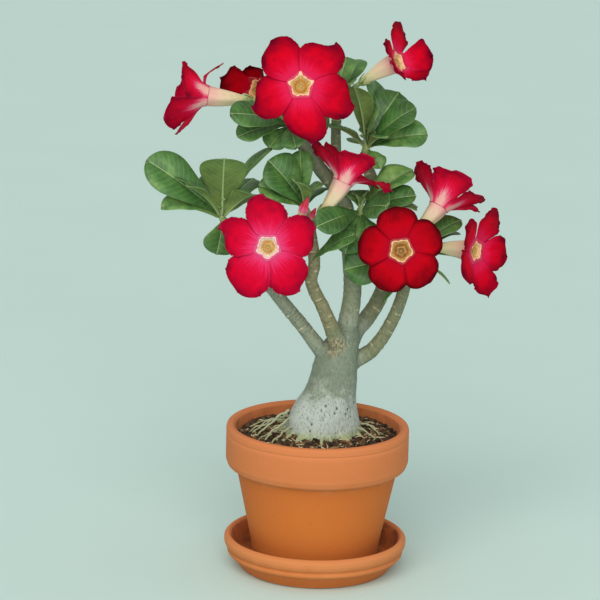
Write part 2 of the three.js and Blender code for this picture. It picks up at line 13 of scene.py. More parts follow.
import bmesh
import bpy
import numpy as np
from mathutils import Matrix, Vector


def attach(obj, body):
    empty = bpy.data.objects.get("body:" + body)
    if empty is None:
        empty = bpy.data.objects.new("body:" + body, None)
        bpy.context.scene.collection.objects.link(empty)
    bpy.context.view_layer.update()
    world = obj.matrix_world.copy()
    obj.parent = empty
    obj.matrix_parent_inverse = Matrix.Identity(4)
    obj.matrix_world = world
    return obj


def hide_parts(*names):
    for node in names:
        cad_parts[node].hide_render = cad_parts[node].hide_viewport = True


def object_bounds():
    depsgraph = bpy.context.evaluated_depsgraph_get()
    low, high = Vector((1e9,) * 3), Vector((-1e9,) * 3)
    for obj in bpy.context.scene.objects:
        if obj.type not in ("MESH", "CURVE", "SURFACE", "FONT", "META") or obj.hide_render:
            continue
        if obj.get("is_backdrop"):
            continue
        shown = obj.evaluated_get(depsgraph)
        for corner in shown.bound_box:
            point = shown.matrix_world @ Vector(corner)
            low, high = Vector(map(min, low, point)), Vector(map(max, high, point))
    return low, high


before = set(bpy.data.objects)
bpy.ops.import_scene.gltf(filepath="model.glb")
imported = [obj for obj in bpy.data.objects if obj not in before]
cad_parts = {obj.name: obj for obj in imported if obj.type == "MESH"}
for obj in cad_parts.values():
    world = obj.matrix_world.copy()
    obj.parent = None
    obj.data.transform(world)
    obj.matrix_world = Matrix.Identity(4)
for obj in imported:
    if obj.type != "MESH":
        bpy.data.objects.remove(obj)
cad_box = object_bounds()
print("nodes in the frame:", len(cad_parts))

# %% [markdown]
# ## Points and smooth curves
#
# Stems, roots and tubes all follow a few given points. A curve through them
# could be a Blender curve object, but arrays of points are easier to bend, widen and
# measure. `spine` gives even steps along the same smooth curve that the solids use,
# `frames_along` says which way is sideways at each step, and `ripple` is the uneven
# touch that no grown thing lacks, made from a few sine waves with a fixed seed.

# %% Points and curves
MM = 0.001
UP = np.array([0.0, 0.0, 1.0])


def unit(v):
    return v / np.linalg.norm(v)


def mix(a, b, t):
    return a + (b - a) * t


def ease(t):
    t = np.clip(t, 0, 1)
    return t * t * (3 - 2 * t)


def spine(points, count):
    """Evenly spaced points on the smooth curve through the given ones."""
    p = np.asarray(points, float)
    p = np.vstack([2 * p[0] - p[1], p, 2 * p[-1] - p[-2]])
    dense = [p[1]]
    for four in zip(p, p[1:], p[2:], p[3:]):
        gaps = [np.linalg.norm(b - a) ** 0.5 for a, b in zip(four, four[1:])]
        knots = np.cumsum([0, *gaps])
        t = np.linspace(knots[1], knots[2], 17)[1:, None]
        level = list(four)
        for spans in ([(0, 1), (1, 2), (2, 3)], [(0, 2), (1, 3)], [(1, 2)]):
            level = [
                mix(a, b, (t - knots[i]) / (knots[j] - knots[i]))
                for a, b, (i, j) in zip(level, level[1:], spans)
            ]
        dense.extend(level[0])
    dense = np.array(dense)
    steps = np.linalg.norm(np.diff(dense, axis=0), axis=1)
    run = np.concatenate([[0], np.cumsum(steps)])
    wanted = np.linspace(0, run[-1], count)
    return np.stack([np.interp(wanted, run, column) for column in dense.T], axis=1)


print("test curve:", spine([[0, 0, 0], [0, 0, 10], [5, 0, 15]], 5).round(1).tolist())

# %% Directions along a curve
ANY_WAY = (0.31, 0.93, 0.2)  # not along any stem, so it always gives a crosswise direction


def frames_along(line, first=ANY_WAY):
    """Heading and two crosswise directions at each point, turned as little as possible."""
    heading = np.gradient(line, axis=0)
    heading = heading / np.linalg.norm(heading, axis=1)[:, None]
    side, sides = np.array(first, float), []
    for way in heading:
        side = unit(side - way * (side @ way))
        sides.append(side)
    sides = np.array(sides)
    return heading, sides, np.cross(heading, sides)


print("crosswise to a straight stem:", frames_along(spine([[0, 0, 0], [0, 0, 9]], 3))[1][0].round(2))

# %% Soft bumps
def ripple(points, size, seed, waves=8):
    """Soft bumps about `size` mm apart, mostly between -1 and 1."""
    dice = np.random.default_rng(seed)
    total = np.zeros(points.shape[:-1])
    for _ in range(waves):
        heading = unit(dice.normal(size=points.shape[-1])) * 2 * math.pi / size
        total += np.sin(points @ heading * dice.uniform(0.6, 1.5) + dice.uniform(0, 6.28))
    return total / (0.9 * math.sqrt(waves))


print("bumps along 10 mm:", ripple(np.array([[0.0, 0.0], [5.0, 0.0], [10.0, 0.0]]), 4, 1).round(2))

# %% [markdown]
# ## One mesh for many patches
#
# A tuft of leaves is one piece with dozens of blades in it. `Skin` gathers grids of
# points as patches, with a few numbers at each point, such as how far it is from the
# blade's edge. The materials read those numbers, so veins and darker edges sit exactly
# where the form has them. `add_piece` welds the patches, turns every face outwards and
# hangs the piece on the frame.

# %% Patches and pieces
class Skin:
    """Patches of one piece: points in mm, faces, and named numbers at each point."""

    def __init__(self, *names):
        self.places, self.faces, self.count = [], [], 0
        self.values = {name: [] for name in names}

    def patch(self, grid, closed=False, **values):
        rows, cols = grid.shape[:2]
        index = self.count + np.arange(rows * cols).reshape(rows, cols)
        left = index if closed else index[:, :-1]
        right = np.roll(index, -1, axis=1) if closed else index[:, 1:]
        quads = np.stack([left[:-1], right[:-1], right[1:], left[1:]], axis=-1)
        self.faces.extend(quads.reshape(-1, 4).tolist())
        self._keep(grid.reshape(-1, 3), (rows, cols), values)

    def lump(self, points, faces, **values):
        self.faces.extend((np.asarray(faces) + self.count).tolist())
        self._keep(points, (len(points),), values)

    def _keep(self, points, shape, values):
        self.places.append(points)
        self.count += len(points)
        for name, parts in self.values.items():
            parts.append(np.broadcast_to(values.get(name, 0.0), shape).ravel())


print("a new skin holds", Skin("wear").count, "points")

# %% Rings and rods
def capped(grid):
    """A tube's rings with each open end drawn together into one point."""
    first = np.broadcast_to(grid[0].mean(0), grid[0].shape)
    last = np.broadcast_to(grid[-1].mean(0), grid[-1].shape)
    return np.concatenate([first[None], grid, last[None]])


def rod(line, radii, sides, flute=None):
    """Rings round a line. flute(turn) widens or narrows each ring by direction."""
    _, across, other = frames_along(line)
    turn = np.linspace(0, 2 * math.pi, sides, endpoint=False)
    spokes = across[:, None] * np.cos(turn)[None, :, None]
    spokes = spokes + other[:, None] * np.sin(turn)[None, :, None]
    reach = np.asarray(radii, float).reshape(-1, 1) * (1 if flute is None else flute(turn))
    return line[:, None] + spokes * np.broadcast_to(reach, spokes.shape[:2])[..., None]


def spread(values, count):
    """A few values stretched evenly over count steps."""
    return np.interp(np.linspace(0, 1, count), np.linspace(0, 1, len(values)), values)


print("a rod's points, ring by ring:", rod(spine([[0, 0, 0], [0, 0, 9]], 4), spread([2, 1], 4), 6).shape)

# %% Write a mesh and hang it on the frame
def write_mesh(name, places, faces, values, weld=0.02):
    """A Blender mesh from points in mm, with its numbers stored on its points."""
    mesh = bpy.data.meshes.new(name)
    mesh.from_pydata((np.asarray(places) * MM).tolist(), [], faces)
    for key, numbers in values.items():
        spot = mesh.attributes.new(key, "FLOAT", "POINT")
        spot.data.foreach_set("value", np.asarray(numbers, np.float32))
    work = bmesh.new()
    work.from_mesh(mesh)
    if weld:
        bmesh.ops.remove_doubles(work, verts=work.verts, dist=weld * MM)
        bmesh.ops.recalc_face_normals(work, faces=work.faces)
    work.to_mesh(mesh)
    work.free()
    mesh.polygons.foreach_set("use_smooth", np.ones(len(mesh.polygons), bool))
    return mesh


def place_piece(name, mesh, finish, slot, *nodes):
    """Shows a mesh as one piece that rides the part's body in place of its solids."""
    mesh.materials.append(finish)
    piece = bpy.data.objects.new(name, mesh)
    bpy.context.scene.collection.objects.link(piece)
    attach(piece, "root")
    if nodes:
        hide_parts(*nodes)
    triangles = sum(len(face.vertices) - 2 for face in mesh.polygons)
    print(f"{name}: {triangles} triangles")
    return piece


def add_piece(name, skin, finish, slot, *nodes):
    values = {key: np.concatenate(parts) for key, parts in skin.values.items()}
    mesh = write_mesh(name, np.concatenate(skin.places), skin.faces, values)
    return place_piece(name, mesh, finish, slot, *nodes)


print("points closer than 0.02 mm are welded, and every face is turned outwards")

# %% [markdown]
# ## Materials from small nodes
#
# Every finish here is procedural: noise, ramps and the numbers stored on the mesh, and
# no image. One function adds any node with its settings and links, and one turns
# sRGB colours into the linear numbers that a shader needs.
# Pattern sizes are real millimetres, and `per_mm` turns a size into a noise scale.

# %% Colours and pattern scales
def linear(code):
    """An sRGB hex colour as the linear numbers that a shader takes."""
    parts = [int(code[i : i + 2], 16) / 255 for i in (1, 3, 5)]
    return (*[p / 12.92 if p <= 0.04045 else ((p + 0.055) / 1.055) ** 2.4 for p in parts], 1.0)


def per_mm(size):
    """The noise scale whose pattern repeats about every `size` millimetres."""
    return 1 / (size * MM)


print("clay orange in linear light:", [round(part, 3) for part in linear("#c8743b")])

# %% Nodes and finishes
def add_node(tree, kind, inputs=(), stops=(), **settings):
    """One node: its settings, its colour stops, and its inputs as values or links."""
    made = tree.nodes.new("ShaderNode" + kind)
    for key, value in settings.items():
        setattr(made, key, value)
    for order, (place, code) in enumerate(stops):
        points = made.color_ramp.elements
        if order < 2:
            stop = points[order]
            stop.position = place
        else:
            stop = points.new(place)
        stop.color = linear(code)
    for key, value in dict(inputs).items():
        if isinstance(value, bpy.types.NodeSocket):
            tree.links.new(value, made.inputs[key])
        else:
            made.inputs[key].default_value = linear(value) if isinstance(value, str) else value
    return made


def new_finish(name, numbers=(), **constants):
    """An empty finish: material, node tree, shader, and the mesh's numbers that it reads."""
    finish = bpy.data.materials.new(name)
    finish.use_nodes = True
    tree = finish.node_tree
    tree.nodes.clear()
    inputs = {key.replace("_", " "): value for key, value in constants.items()}
    shader = add_node(tree, "BsdfPrincipled", inputs)
    add_node(tree, "OutputMaterial", {"Surface": shader.outputs[0]})
    stored = {
        number: add_node(tree, "Attribute", attribute_name=number).outputs["Fac"] for number in numbers
    }
    return finish, tree, shader, stored


print("materials so far:", len(bpy.data.materials))

# %% [markdown]
# ## Terracotta
#
# The pot and saucer are earthenware: iron-rich clay, pressed in a mould and fired
# without a glaze. To the eye that is dry and dead matt, so the roughness is high. It is
# warm orange, with soft clouds a few centimetres wide where the kiln was hotter, pale
# and dark grit, and paler edges where handling has rubbed them. The pot's inner wall
# above the soil is drawn darker, and the saucer has brown water stains inside. An image
# could carry all of this, but noise in the object's own space wraps round a turned form
# with no seam.

# %% Fired clay
CLAY_HEIGHT = 110  # mm: the colour stops are shares of this height


def fired_clay(name, heights, worn, stain):
    """heights are the colour stops up the piece, worn its rubbed edges, stain its grit and darker inside."""
    finish, tree, shader, stored = new_finish(name, ("wear", "wet"), Roughness=0.86, IOR=1.5)
    place = add_node(tree, "TexCoord").outputs["Object"]
    height = add_node(tree, "SeparateXYZ", {0: place}).outputs[2]
    share = add_node(tree, "Math", {0: height, 1: per_mm(CLAY_HEIGHT)}, operation="MULTIPLY").outputs[0]
    cloud = add_node(
        tree, "TexNoise", {"Vector": place, "Scale": per_mm(26), "Detail": 3.0, "Roughness": 0.55}
    ).outputs[0]
    drift = add_node(
        tree, "MapRange", {0: cloud, 1: 0.2, 2: 0.8, 3: -0.07, 4: 0.07}
    ).outputs[0]
    share = add_node(tree, "Math", {0: share, 1: drift}, operation="ADD").outputs[0]
    colour = add_node(tree, "ValToRGB", {0: share}, stops=heights).outputs[0]
    grit = add_node(  # the real grit is under 0.5 mm, too fine to show, so it is drawn coarser
        tree, "TexNoise", {"Vector": place, "Scale": per_mm(2.4), "Detail": 5.0, "Roughness": 0.7}
    ).outputs[0]
    pale = add_node(tree, "MapRange", {0: grit, 1: 0.5, 2: 0.8, 3: 0.0, 4: 0.1}).outputs[0]
    colour = add_node(tree, "Mix", {0: pale, 6: colour, 7: worn}, data_type="RGBA").outputs[2]
    dark = add_node(tree, "MapRange", {0: grit, 1: 0.34, 2: 0.28, 3: 0.0, 4: 0.6}).outputs[0]
    colour = add_node(tree, "Mix", {0: dark, 6: colour, 7: stain}, data_type="RGBA").outputs[2]
    rub = add_node(tree, "Math", {0: stored["wear"], 1: 0.55}, operation="MULTIPLY").outputs[0]
    colour = add_node(tree, "Mix", {0: rub, 6: colour, 7: worn}, data_type="RGBA").outputs[2]
    # Clouds of 14 mm make the darker inside patchy: brown water stains in the saucer, and the darker inner
    # wall of the pot.
    damp = add_node(
        tree, "TexNoise", {"Vector": place, "Scale": per_mm(14), "Detail": 4.0, "Roughness": 0.6}
    ).outputs[0]
    patch = add_node(tree, "MapRange", {0: damp, 1: 0.42, 2: 0.6, 3: 0.15, 4: 0.75}).outputs[0]
    wet = add_node(tree, "Math", {0: patch, 1: stored["wet"]}, operation="MULTIPLY").outputs[0]
    colour = add_node(tree, "Mix", {0: wet, 6: colour, 7: stain}, data_type="RGBA").outputs[2]
    bump = add_node(tree, "Bump", {"Strength": 0.35, "Distance": 0.12 * MM, "Height": grit})
    tree.links.new(colour, shader.inputs["Base Color"])
    tree.links.new(bump.outputs[0], shader.inputs["Normal"])
    return finish


pot_clay = fired_clay(
    "terracotta pot",
    [(0.0, "#c06a26"), (1.0, "#cc7642"), (0.4, "#c86c24"), (0.7, "#c46824"), (0.76, "#c6723c")],
    "#da8654", "#8a4a20",
)
saucer_clay = fired_clay(
    "terracotta saucer",
    [(0.0, "#bc6220"), (1.0, "#c8743b"), (0.1, "#be6624"), (0.2, "#cc7a42")],
    "#da8c56", "#743c1a",
)
print("clay finishes:", pot_clay.name, "and", saucer_clay.name)

# %% [markdown]
# ## The pot and the saucer
#
# Both are turned shapes, so each is a lathe: a profile of radius and height, swung round
# the upright axis. A Screw modifier could do that, but here every corner is first turned
# into a small arc, because pressed clay never has a knife edge, and each point keeps how
# near it is to such a corner, so the finish can rub it paler.

# %% Lathe
RUBBED = 1.3  # mm from a corner over which the clay is worn paler


def rounded(profile, radius, step=3.0):
    """The profile with rounded corners, and how worn each of its points is."""
    p = np.asarray(profile, float)
    out, corners = [p[0]], []
    for a, b, c in zip(p, p[1:], p[2:]):
        before, after = a - b, c - b
        cut = min(radius, 0.45 * np.linalg.norm(before), 0.45 * np.linalg.norm(after))
        start, end = b + unit(before) * cut, b + unit(after) * cut
        for t in np.linspace(0, 1, 5):
            out.append((1 - t) ** 2 * start + 2 * t * (1 - t) * b + t * t * end)
        sharp = -before[0] * after[1] + before[1] * after[0]
        sharp = sharp / np.linalg.norm(before) / np.linalg.norm(after)
        corners.append((*b, max(sharp, 0)))
    out.append(p[-1])
    dense = [out[0]]
    for a, b in zip(out, out[1:]):
        count = max(1, int(np.ceil(np.linalg.norm(b - a) / step)))
        dense.extend(mix(a, b, t) for t in np.linspace(0, 1, count + 1)[1:])
    dense, corners = np.array(dense), np.array(corners)
    gap = np.linalg.norm(dense[:, None] - corners[None, :, :2], axis=2)
    return dense, (np.exp(-((gap / RUBBED) ** 2)) * corners[:, 2]).max(1)


def lathe(profile, sides):
    """The profile of radius and height, swung round the upright axis."""
    turn = np.linspace(0, 2 * math.pi, sides, endpoint=False)
    r, z = profile[:, :1], profile[:, 1:]
    return np.stack([r * np.cos(turn), r * np.sin(turn), z + 0 * turn], axis=-1)


print("a square corner becomes", len(rounded([(0, 0), (9, 0), (9, 9)], 1)[0]), "points")

# %% The pot
LATHE_SIDES = 180
POT_OUTSIDE = [
    (43, 7), (46.2, 8.4), (48.4, 13), (49.6, 22), (61.8, 79.6), (65.6, 80.4), (68.5, 82.4),
    (70, 86.6), (70, 106.2), (69.3, 107.2), (70, 108.2), (70, 110.8), (69.2, 112.9), (67.6, 113.7),
]
POT_INSIDE = [(65.4, 113.7), (63.1, 111.7), (61.3, 103), (43, 15), (9, 15), (9, 7), (43, 7)]
profile, wear = rounded(POT_OUTSIDE + POT_INSIDE, 0.9)
pot = Skin("wear", "wet")
LIP_POINTS = 4  # the lip's own points, on the way from its top to the inner wall
inside = np.arange(len(profile)) > np.argmax(profile[:, 1]) + LIP_POINTS
lining = inside & (profile[:, 0] < 63.2)  # the pot's inner wall above the soil, drawn darker
pot.patch(lathe(profile, LATHE_SIDES), closed=True, wear=wear[:, None], wet=lining[:, None] * 0.55)
add_piece("clay_pot", pot, pot_clay, "pot_clay", "pot")

# %% The saucer
SAUCER = [
    (0, 0.6), (55.2, 0.6), (55.8, 0), (57.2, 0.6), (64.8, 10), (67.4, 11.8), (67.8, 13.6),
    (66.8, 15.6), (68.8, 17.2), (70, 20), (70, 23.6), (68.2, 25.6), (66.6, 26.2),
    (64.4, 24.4), (61.5, 14), (58, 8.6), (52, 7), (0, 7),
]
profile, wear = rounded(SAUCER, 0.8)
saucer = Skin("wear", "wet")
inside = np.arange(len(profile)) > np.argmax(profile[:, 1]) + LIP_POINTS
saucer.patch(lathe(profile, LATHE_SIDES), closed=True, wear=wear[:, None], wet=inside[:, None] * 1.0)
add_piece("clay_saucer", saucer, saucer_clay, "saucer_clay", "saucer")

# %% [markdown]
# ## Potting soil
#
# The potting mix is peat, broken into crumbs, with shreds of reddish bark, pale grit and
# dry rootlets. Nothing in it shines, so it gets the highest roughness of all. A flat disc
# with a picture of soil would look flat from the side. Here a displaced disc makes the
# bed, with a dome for every crumb, and the crumbs, shreds and rootlets that lie loose on
# it are their own small lumps, so the surface breaks up against the light.

# %% Soil finish
def loose_matter(name, dark, middle, pale, grain):
    """grain is the size in mm of its mottling, which is about that of its own bits."""
    finish, tree, shader, stored = new_finish(name, ("tint",), Roughness=0.95, IOR=1.45)
    place = add_node(tree, "TexCoord").outputs["Object"]
    fleck = add_node(
        tree, "TexNoise", {"Vector": place, "Scale": per_mm(grain), "Detail": 5.0, "Roughness": 0.7}
    ).outputs[0]
    lifted = add_node(tree, "Math", {0: stored["tint"], 1: 0.3}, operation="MULTIPLY").outputs[0]
    share = add_node(tree, "Math", {0: fleck, 1: lifted}, operation="ADD").outputs[0]
    colour = add_node(
        tree, "ValToRGB", {0: share}, stops=[(0.3, dark), (0.85, pale), (0.58, middle)]
    ).outputs[0]
    bump = add_node(tree, "Bump", {"Strength": 0.7, "Distance": 0.5 * MM, "Height": fleck})
    tree.links.new(colour, shader.inputs["Base Color"])
    tree.links.new(bump.outputs[0], shader.inputs["Normal"])
    return finish


peat = loose_matter("damp peat", "#20150f", "#46321f", "#8a6b4a", 2.2)
bark_shreds = loose_matter("bark shreds", "#3a2417", "#7a5534", "#b58c62", 2.6)
pale_grit = loose_matter("pale grit", "#a08e6a", "#d2c49c", "#efe6cf", 1.6)
print("soil finishes:", ", ".join(m.name for m in (peat, bark_shreds, pale_grit)))

# %% Shape of the bed
dice = np.random.default_rng(11)
SOIL_TOP = 105.6  # height of the bed at the wall of the pot
SOIL_MOUND = 5  # how much higher it is at the trunk
BED_R = 61.0


def soil_height(x, y):
    r = np.hypot(x, y)
    waves = 0.7 * np.sin(0.31 * x + 1.2) * np.cos(0.27 * y) + 0.5 * np.sin(0.53 * x - 0.47 * y)
    return SOIL_TOP + SOIL_MOUND * (1 - ease(r / 58)) + waves


def scatter(count, low, high):
    """Places on the bed between two radii, evenly spread over its area."""
    r = np.sqrt(dice.uniform(low**2, high**2, count))
    turn = dice.uniform(0, 2 * math.pi, count)
    return np.stack([r * np.cos(turn), r * np.sin(turn)], axis=1)


print("soil height at the trunk:", round(float(soil_height(20, 0)), 1), "mm")

# %% Soil bed
BED_SIDES = 360
crumbs = scatter(1500, 18, 60)
crumb_size = dice.uniform(1.0, 2.9, len(crumbs))
r = np.linspace(0, BED_R, 76)
turn = np.linspace(0, 2 * math.pi, BED_SIDES, endpoint=False)
bed_x, bed_y = r[:, None] * np.cos(turn), r[:, None] * np.sin(turn)
bed_z = soil_height(bed_x, bed_y)
flat = np.stack([bed_x.ravel(), bed_y.ravel()], axis=1)
dome = np.zeros(len(flat))
for spot, size in zip(crumbs, crumb_size):
    gap = ((flat - spot) ** 2).sum(1) / size**2
    near = gap < 1
    dome[near] = np.maximum(dome[near], 0.62 * size * np.sqrt(1 - gap[near]))
rim_fade = 1 - ease((np.hypot(bed_x, bed_y) - 57) / 4) * 0.7
bed_z = bed_z - 0.9 + (dome.reshape(bed_z.shape) + 0.25 * ripple(
    np.stack([bed_x, bed_y, bed_z], -1), 3.1, 5)) * rim_fade
bed = np.stack([bed_x, bed_y, bed_z], axis=-1)
wall = lathe(np.array([(60.5, 101.6), (43.0, 15.35), (0.0, 15.35)]), BED_SIDES)
soil = Skin("tint")
soil.patch(np.concatenate([bed, wall]), closed=True, tint=0.0)
add_piece("soil_bed", soil, peat, "soil", "soil")

# %% Lumps
def ball(subdivisions):
    """The points and triangles of a ball of radius 1."""
    work = bmesh.new()
    bmesh.ops.create_icosphere(work, subdivisions=subdivisions, radius=1)
    points = np.array([v.co for v in work.verts])
    faces = [[v.index for v in f.verts] for f in work.faces]
    work.free()
    return points, faces


def strew(skin, spots, size, form, seed, sink=0.25):
    """Lumps of one kind on the bed: form is their proportions, size a range in mm."""
    points, faces = ball(2)
    for number, (x, y) in enumerate(spots):
        scale = dice.uniform(*size) * np.array(form) * dice.uniform(0.75, 1.25, 3)
        rough = 1 + 0.3 * ripple(points, 1.6, seed + number, 5)
        lump = np.sign(points) * np.abs(points) ** 0.8 * rough[:, None] * scale
        spin, tip = dice.uniform(0, 6.28), dice.normal(0, 0.35)
        c, s, ct, st = math.cos(spin), math.sin(spin), math.cos(tip), math.sin(tip)
        lump = lump @ np.array([[1, 0, 0], [0, ct, st], [0, -st, ct]])
        lump = lump @ np.array([[c, s, 0], [-s, c, 0], [0, 0, 1]])
        lift = soil_height(x, y) + scale[2] * (1 - sink) - 0.5
        skin.lump(lump + [x, y, lift], faces, tint=dice.uniform(-0.6, 0.8))


print("triangles in one lump:", len(ball(2)[1]))

# %% Loose crumbs, shreds, grit and rootlets
loose = Skin("tint")
strew(loose, scatter(520, 27, 58.5), (0.7, 2.1), (1, 0.9, 0.8), 100)
add_piece("soil_crumbs", loose, peat, "soil", "soil")
shreds = Skin("tint")
strew(shreds, scatter(200, 28, 58), (1.2, 3.4), (1.3, 0.55, 0.3), 700, 0.1)
add_piece("soil_bark_shreds", shreds, bark_shreds, "soil", "soil")
grit = Skin("tint")
strew(grit, scatter(46, 28, 58), (0.4, 1.3), (1, 0.9, 0.6), 900, 0.1)
strew(grit, scatter(22, 34, 56), (1.1, 1.9), (1.5, 0.5, 0.35), 1900, -0.4)
for number in range(105):
    start = scatter(1, 30, 54)[0]
    way = dice.uniform(0, 6.28)
    length = dice.uniform(5, 13)
    bend = dice.normal(0, 1.5, 2)
    along = np.array([math.cos(way), math.sin(way)])
    path = [start, start + along * length * 0.5 + bend, start + along * length]
    path = [[*p, soil_height(*p) + rise] for p, rise in zip(path, (0.5, 1.3, 0.7))]
    if max(np.hypot(p[0], p[1]) for p in path) < BED_R - 2:
        line = spine(path, 10)
        grit.patch(capped(rod(line, spread([0.22, 0.5, 0.42, 0.18], 10), 6)), closed=True, tint=0.1)
add_piece("soil_grit_and_rootlets", grit, pale_grit, "soil", "soil")

# %% [markdown]
# ## The swollen trunk and its branches
#
# The caudex is a water store with thin grey bark over green flesh. It narrows upwards
# into branches, flares into knobbly roots at the soil, and every branch is ringed by the
# pale crescent scars of dropped leaves. The parts are plain rods and rings first. A voxel
# remesh melts them into one skin with soft forks, which is how the real wood joins, and
# the fine relief is pushed in afterwards from the nearest centre line.

# %% Trunk and branches
# Each ring of the trunk: height, middle x and y, half width and half depth.
TRUNK_RINGS = [
    (58, 5, 2, 8, 8), (78, 4.2, 2, 19, 18), (94, 3.6, 1, 27, 25), (105, 3.2, 0, 28.8, 27.4),
    (114, 3, 0, 28.2, 26.8), (122, 3.6, 0, 26.4, 25.6), (130, 5.2, 0, 23.8, 23.6),
    (140, 8.8, 0, 20.2, 20.8), (152.5, 11.6, 0, 17.9, 18.6), (163, 12.8, 0, 16.4, 17.6),
    (172, 14.5, 1, 15, 16.4), (180.5, 17.5, 2, 12.6, 14), (189, 20, 3, 8, 9.5),
]
# Each branch: its points from fork to tip, its radii, and how olive its bark is.
BRANCHES = {
    "left": ([[10, 0, 160], [2, -2, 171], [-13.5, -6, 192], [-31, -10, 214], [-49, -12, 237],
              [-65, -12, 260]], [6.4, 5.6, 5.4, 5, 4.8, 4.6], 0.35),
    "mid": ([[18, -2, 170], [13, -10, 182], [2, -18, 209], [-8, -20, 231], [-6, -20, 244],
             [-10, -16, 272]], [7, 6, 5.2, 4.8, 4.6, 4.4], 0.9),
    "main": ([[18, 1, 174], [20, 2, 188], [23.5, 4, 218], [21, 6, 250], [17, 8, 280],
              [9, 8, 297], [-2, 6, 310], [-13, 2, 326], [-20, 0, 335]],
             [8.5, 7.4, 7, 6.8, 6.6, 6, 5.4, 5], 0.5),
    "high": ([[22, 6, 174], [27, 12, 185], [35, 20, 192.5], [45, 26, 208.5], [50.5, 28, 235],
              [44, 26, 280], [31, 20, 314]], [7, 6.4, 6, 5.6, 5.2, 4.8, 4.6], 0.7),
    "right": ([[17, 3, 152], [25, 4, 162], [40, 2, 173], [54, 0, 196], [62, -2, 220],
               [65, -2, 240]], [7, 6, 5.4, 5, 4.8, 4.6], 0.7),
    "back": ([[9, 10, 294], [9, 19, 314], [8, 23, 330], [8, 25, 346]], [4.8, 4.2, 4, 3.8], 0.6),
    "heart": ([[20, 6, 262], [25, 1, 270], [27, -1, 276]], [4.6, 4.2, 4], 0.6),
}
print("branches:", ", ".join(BRANCHES))

# %% Roots
# Each root: the way it leaves in degrees, how far it reaches, its sway and its radius.
ROOTS = [
    (176, 52, 10, 1.9), (200, 50, -12, 1.6), (216, 55, 8, 2), (244, 46, -8, 1.6),
    (280, 44, 9, 1.7), (318, 44, -7, 1.9), (358, 46, 8, 1.6), (44, 45, -8, 1.7),
    (88, 50, 9, 1.9), (132, 48, -9, 1.7),
]
FOOT_X = 3.2  # the middle of the trunk where it meets the soil
ROOT_STEPS = 34
ROOTLETS = 17


def root_line(deg, reach, sway, start=(20.8, 7), steps=((0.3, 3.4), (0.6, -0.4), (1, -5))):
    """A root that leaves the trunk, lies along the soil and dives into it."""
    points = []
    for share, lift in ((0, start[1]), *steps):
        r = mix(start[0], reach, share)
        turn = math.radians(deg + sway * share)
        points.append([FOOT_X + r * math.cos(turn), r * math.sin(turn), SOIL_TOP + lift])
    return spine(points, ROOT_STEPS)


print("roots that spread:", len(ROOTS), "and short ones at the foot:", ROOTLETS)

# %% Where the wood runs
BRANCH_STEPS = 90
wood = []
rings = spine(np.column_stack([TRUNK_RINGS, np.arange(len(TRUNK_RINGS))]), 110)
wood.append(dict(kind="trunk", line=rings[:, [1, 2, 0]], radii=rings[:, 3:5].mean(1), tint=0.0))
for name, (points, radii, tint) in BRANCHES.items():
    line = spine(points, BRANCH_STEPS)
    wood.append(dict(kind=name, line=line, radii=spread(radii, BRANCH_STEPS), tint=tint))
for deg, reach, sway, r in ROOTS:
    wood.append(dict(kind="root", line=root_line(deg, reach, sway),
                     radii=r * spread([1.6, 1.0, 0.8, 0.6], ROOT_STEPS), tint=0.0))
for number in range(ROOTLETS):
    deg = number * 21.2 + 6 * math.sin(3.7 * number)
    reach = 35.5 + 2.6 * math.sin(2.3 * number + 1)
    line = root_line(deg, reach, 5 * math.sin(1.9 * number), (24, 6.2), ((0.5, 3.6), (1, -2)))
    size = 1.9 + 0.5 * math.sin(5.1 * number)
    wood.append(dict(kind="root", line=line, radii=size * spread([1.1, 1, 0.6], ROOT_STEPS), tint=0.0))
print("wood runs:", len(wood), "with", sum(len(w["line"]) for w in wood), "centre points")

# %% [markdown]
# ## One skin over the forks
#
# Where real branches fork, the bark flows from one to the next with no seam. Rods that
# only stick into each other would show a hard line there. So all the rods are first put
# in one mesh, and a Remesh modifier rebuilds its outside from cubes of 0.85 mm, which is
# fine enough for the branches and the stout roots. Its steps are then smoothed away.

# %% Melt the wood into one skin
VOXEL = 0.85
turn = np.linspace(0, 2 * math.pi, 72, endpoint=False)
z, x, y, across, deep, row = (rings[:, k : k + 1] for k in range(6))
bulge = 1 + 0.035 * np.sin(3 * turn + 0.5 * row) + 0.02 * np.sin(5 * turn - 0.8 * row)
stem = np.stack([x + across * bulge * np.cos(turn), y + deep * bulge * np.sin(turn), z + 0 * turn], -1)
solid = Skin()
solid.patch(capped(stem), closed=True)
for run in wood[1:]:
    solid.patch(capped(rod(run["line"], run["radii"], 20)), closed=True)
rods = write_mesh("rough_wood", np.concatenate(solid.places), solid.faces, {})
rough = bpy.data.objects.new("rough_wood", rods)
bpy.context.scene.collection.objects.link(rough)
melt = rough.modifiers.new("melt", "REMESH")
melt.mode, melt.voxel_size = "VOXEL", VOXEL * MM
view = bpy.context.evaluated_depsgraph_get()
skin = bpy.data.meshes.new_from_object(rough.evaluated_get(view))
bpy.data.objects.remove(rough)
points = np.empty(len(skin.vertices) * 3, np.float32)
skin.vertices.foreach_get("co", points)
points = points.reshape(-1, 3).astype(float) / MM
edges = np.empty(len(skin.edges) * 2, np.int32)
skin.edges.foreach_get("vertices", edges)
edges = edges.reshape(-1, 2)
degree = np.bincount(edges.ravel(), minlength=len(points))
print("melted skin:", len(points), "points")

# %% Smooth the steps of the voxels
def neighbours_mean(values):
    """The mean of each point's neighbours, for places or for any stored number."""
    total = np.zeros_like(values)
    np.add.at(total, edges[:, 0], values[edges[:, 1]])
    np.add.at(total, edges[:, 1], values[edges[:, 0]])
    return (total.T / degree).T


# A step in and a larger step out smooth the skin without thinning the stems.
for step in (0.6, -0.62, 0.6, -0.62, 0.6, -0.62, 0.6, 0.5):
    points += step * (neighbours_mean(points) - points)
print("height of the smoothed wood:", round(float(np.ptp(points[:, 2])), 1), "mm")

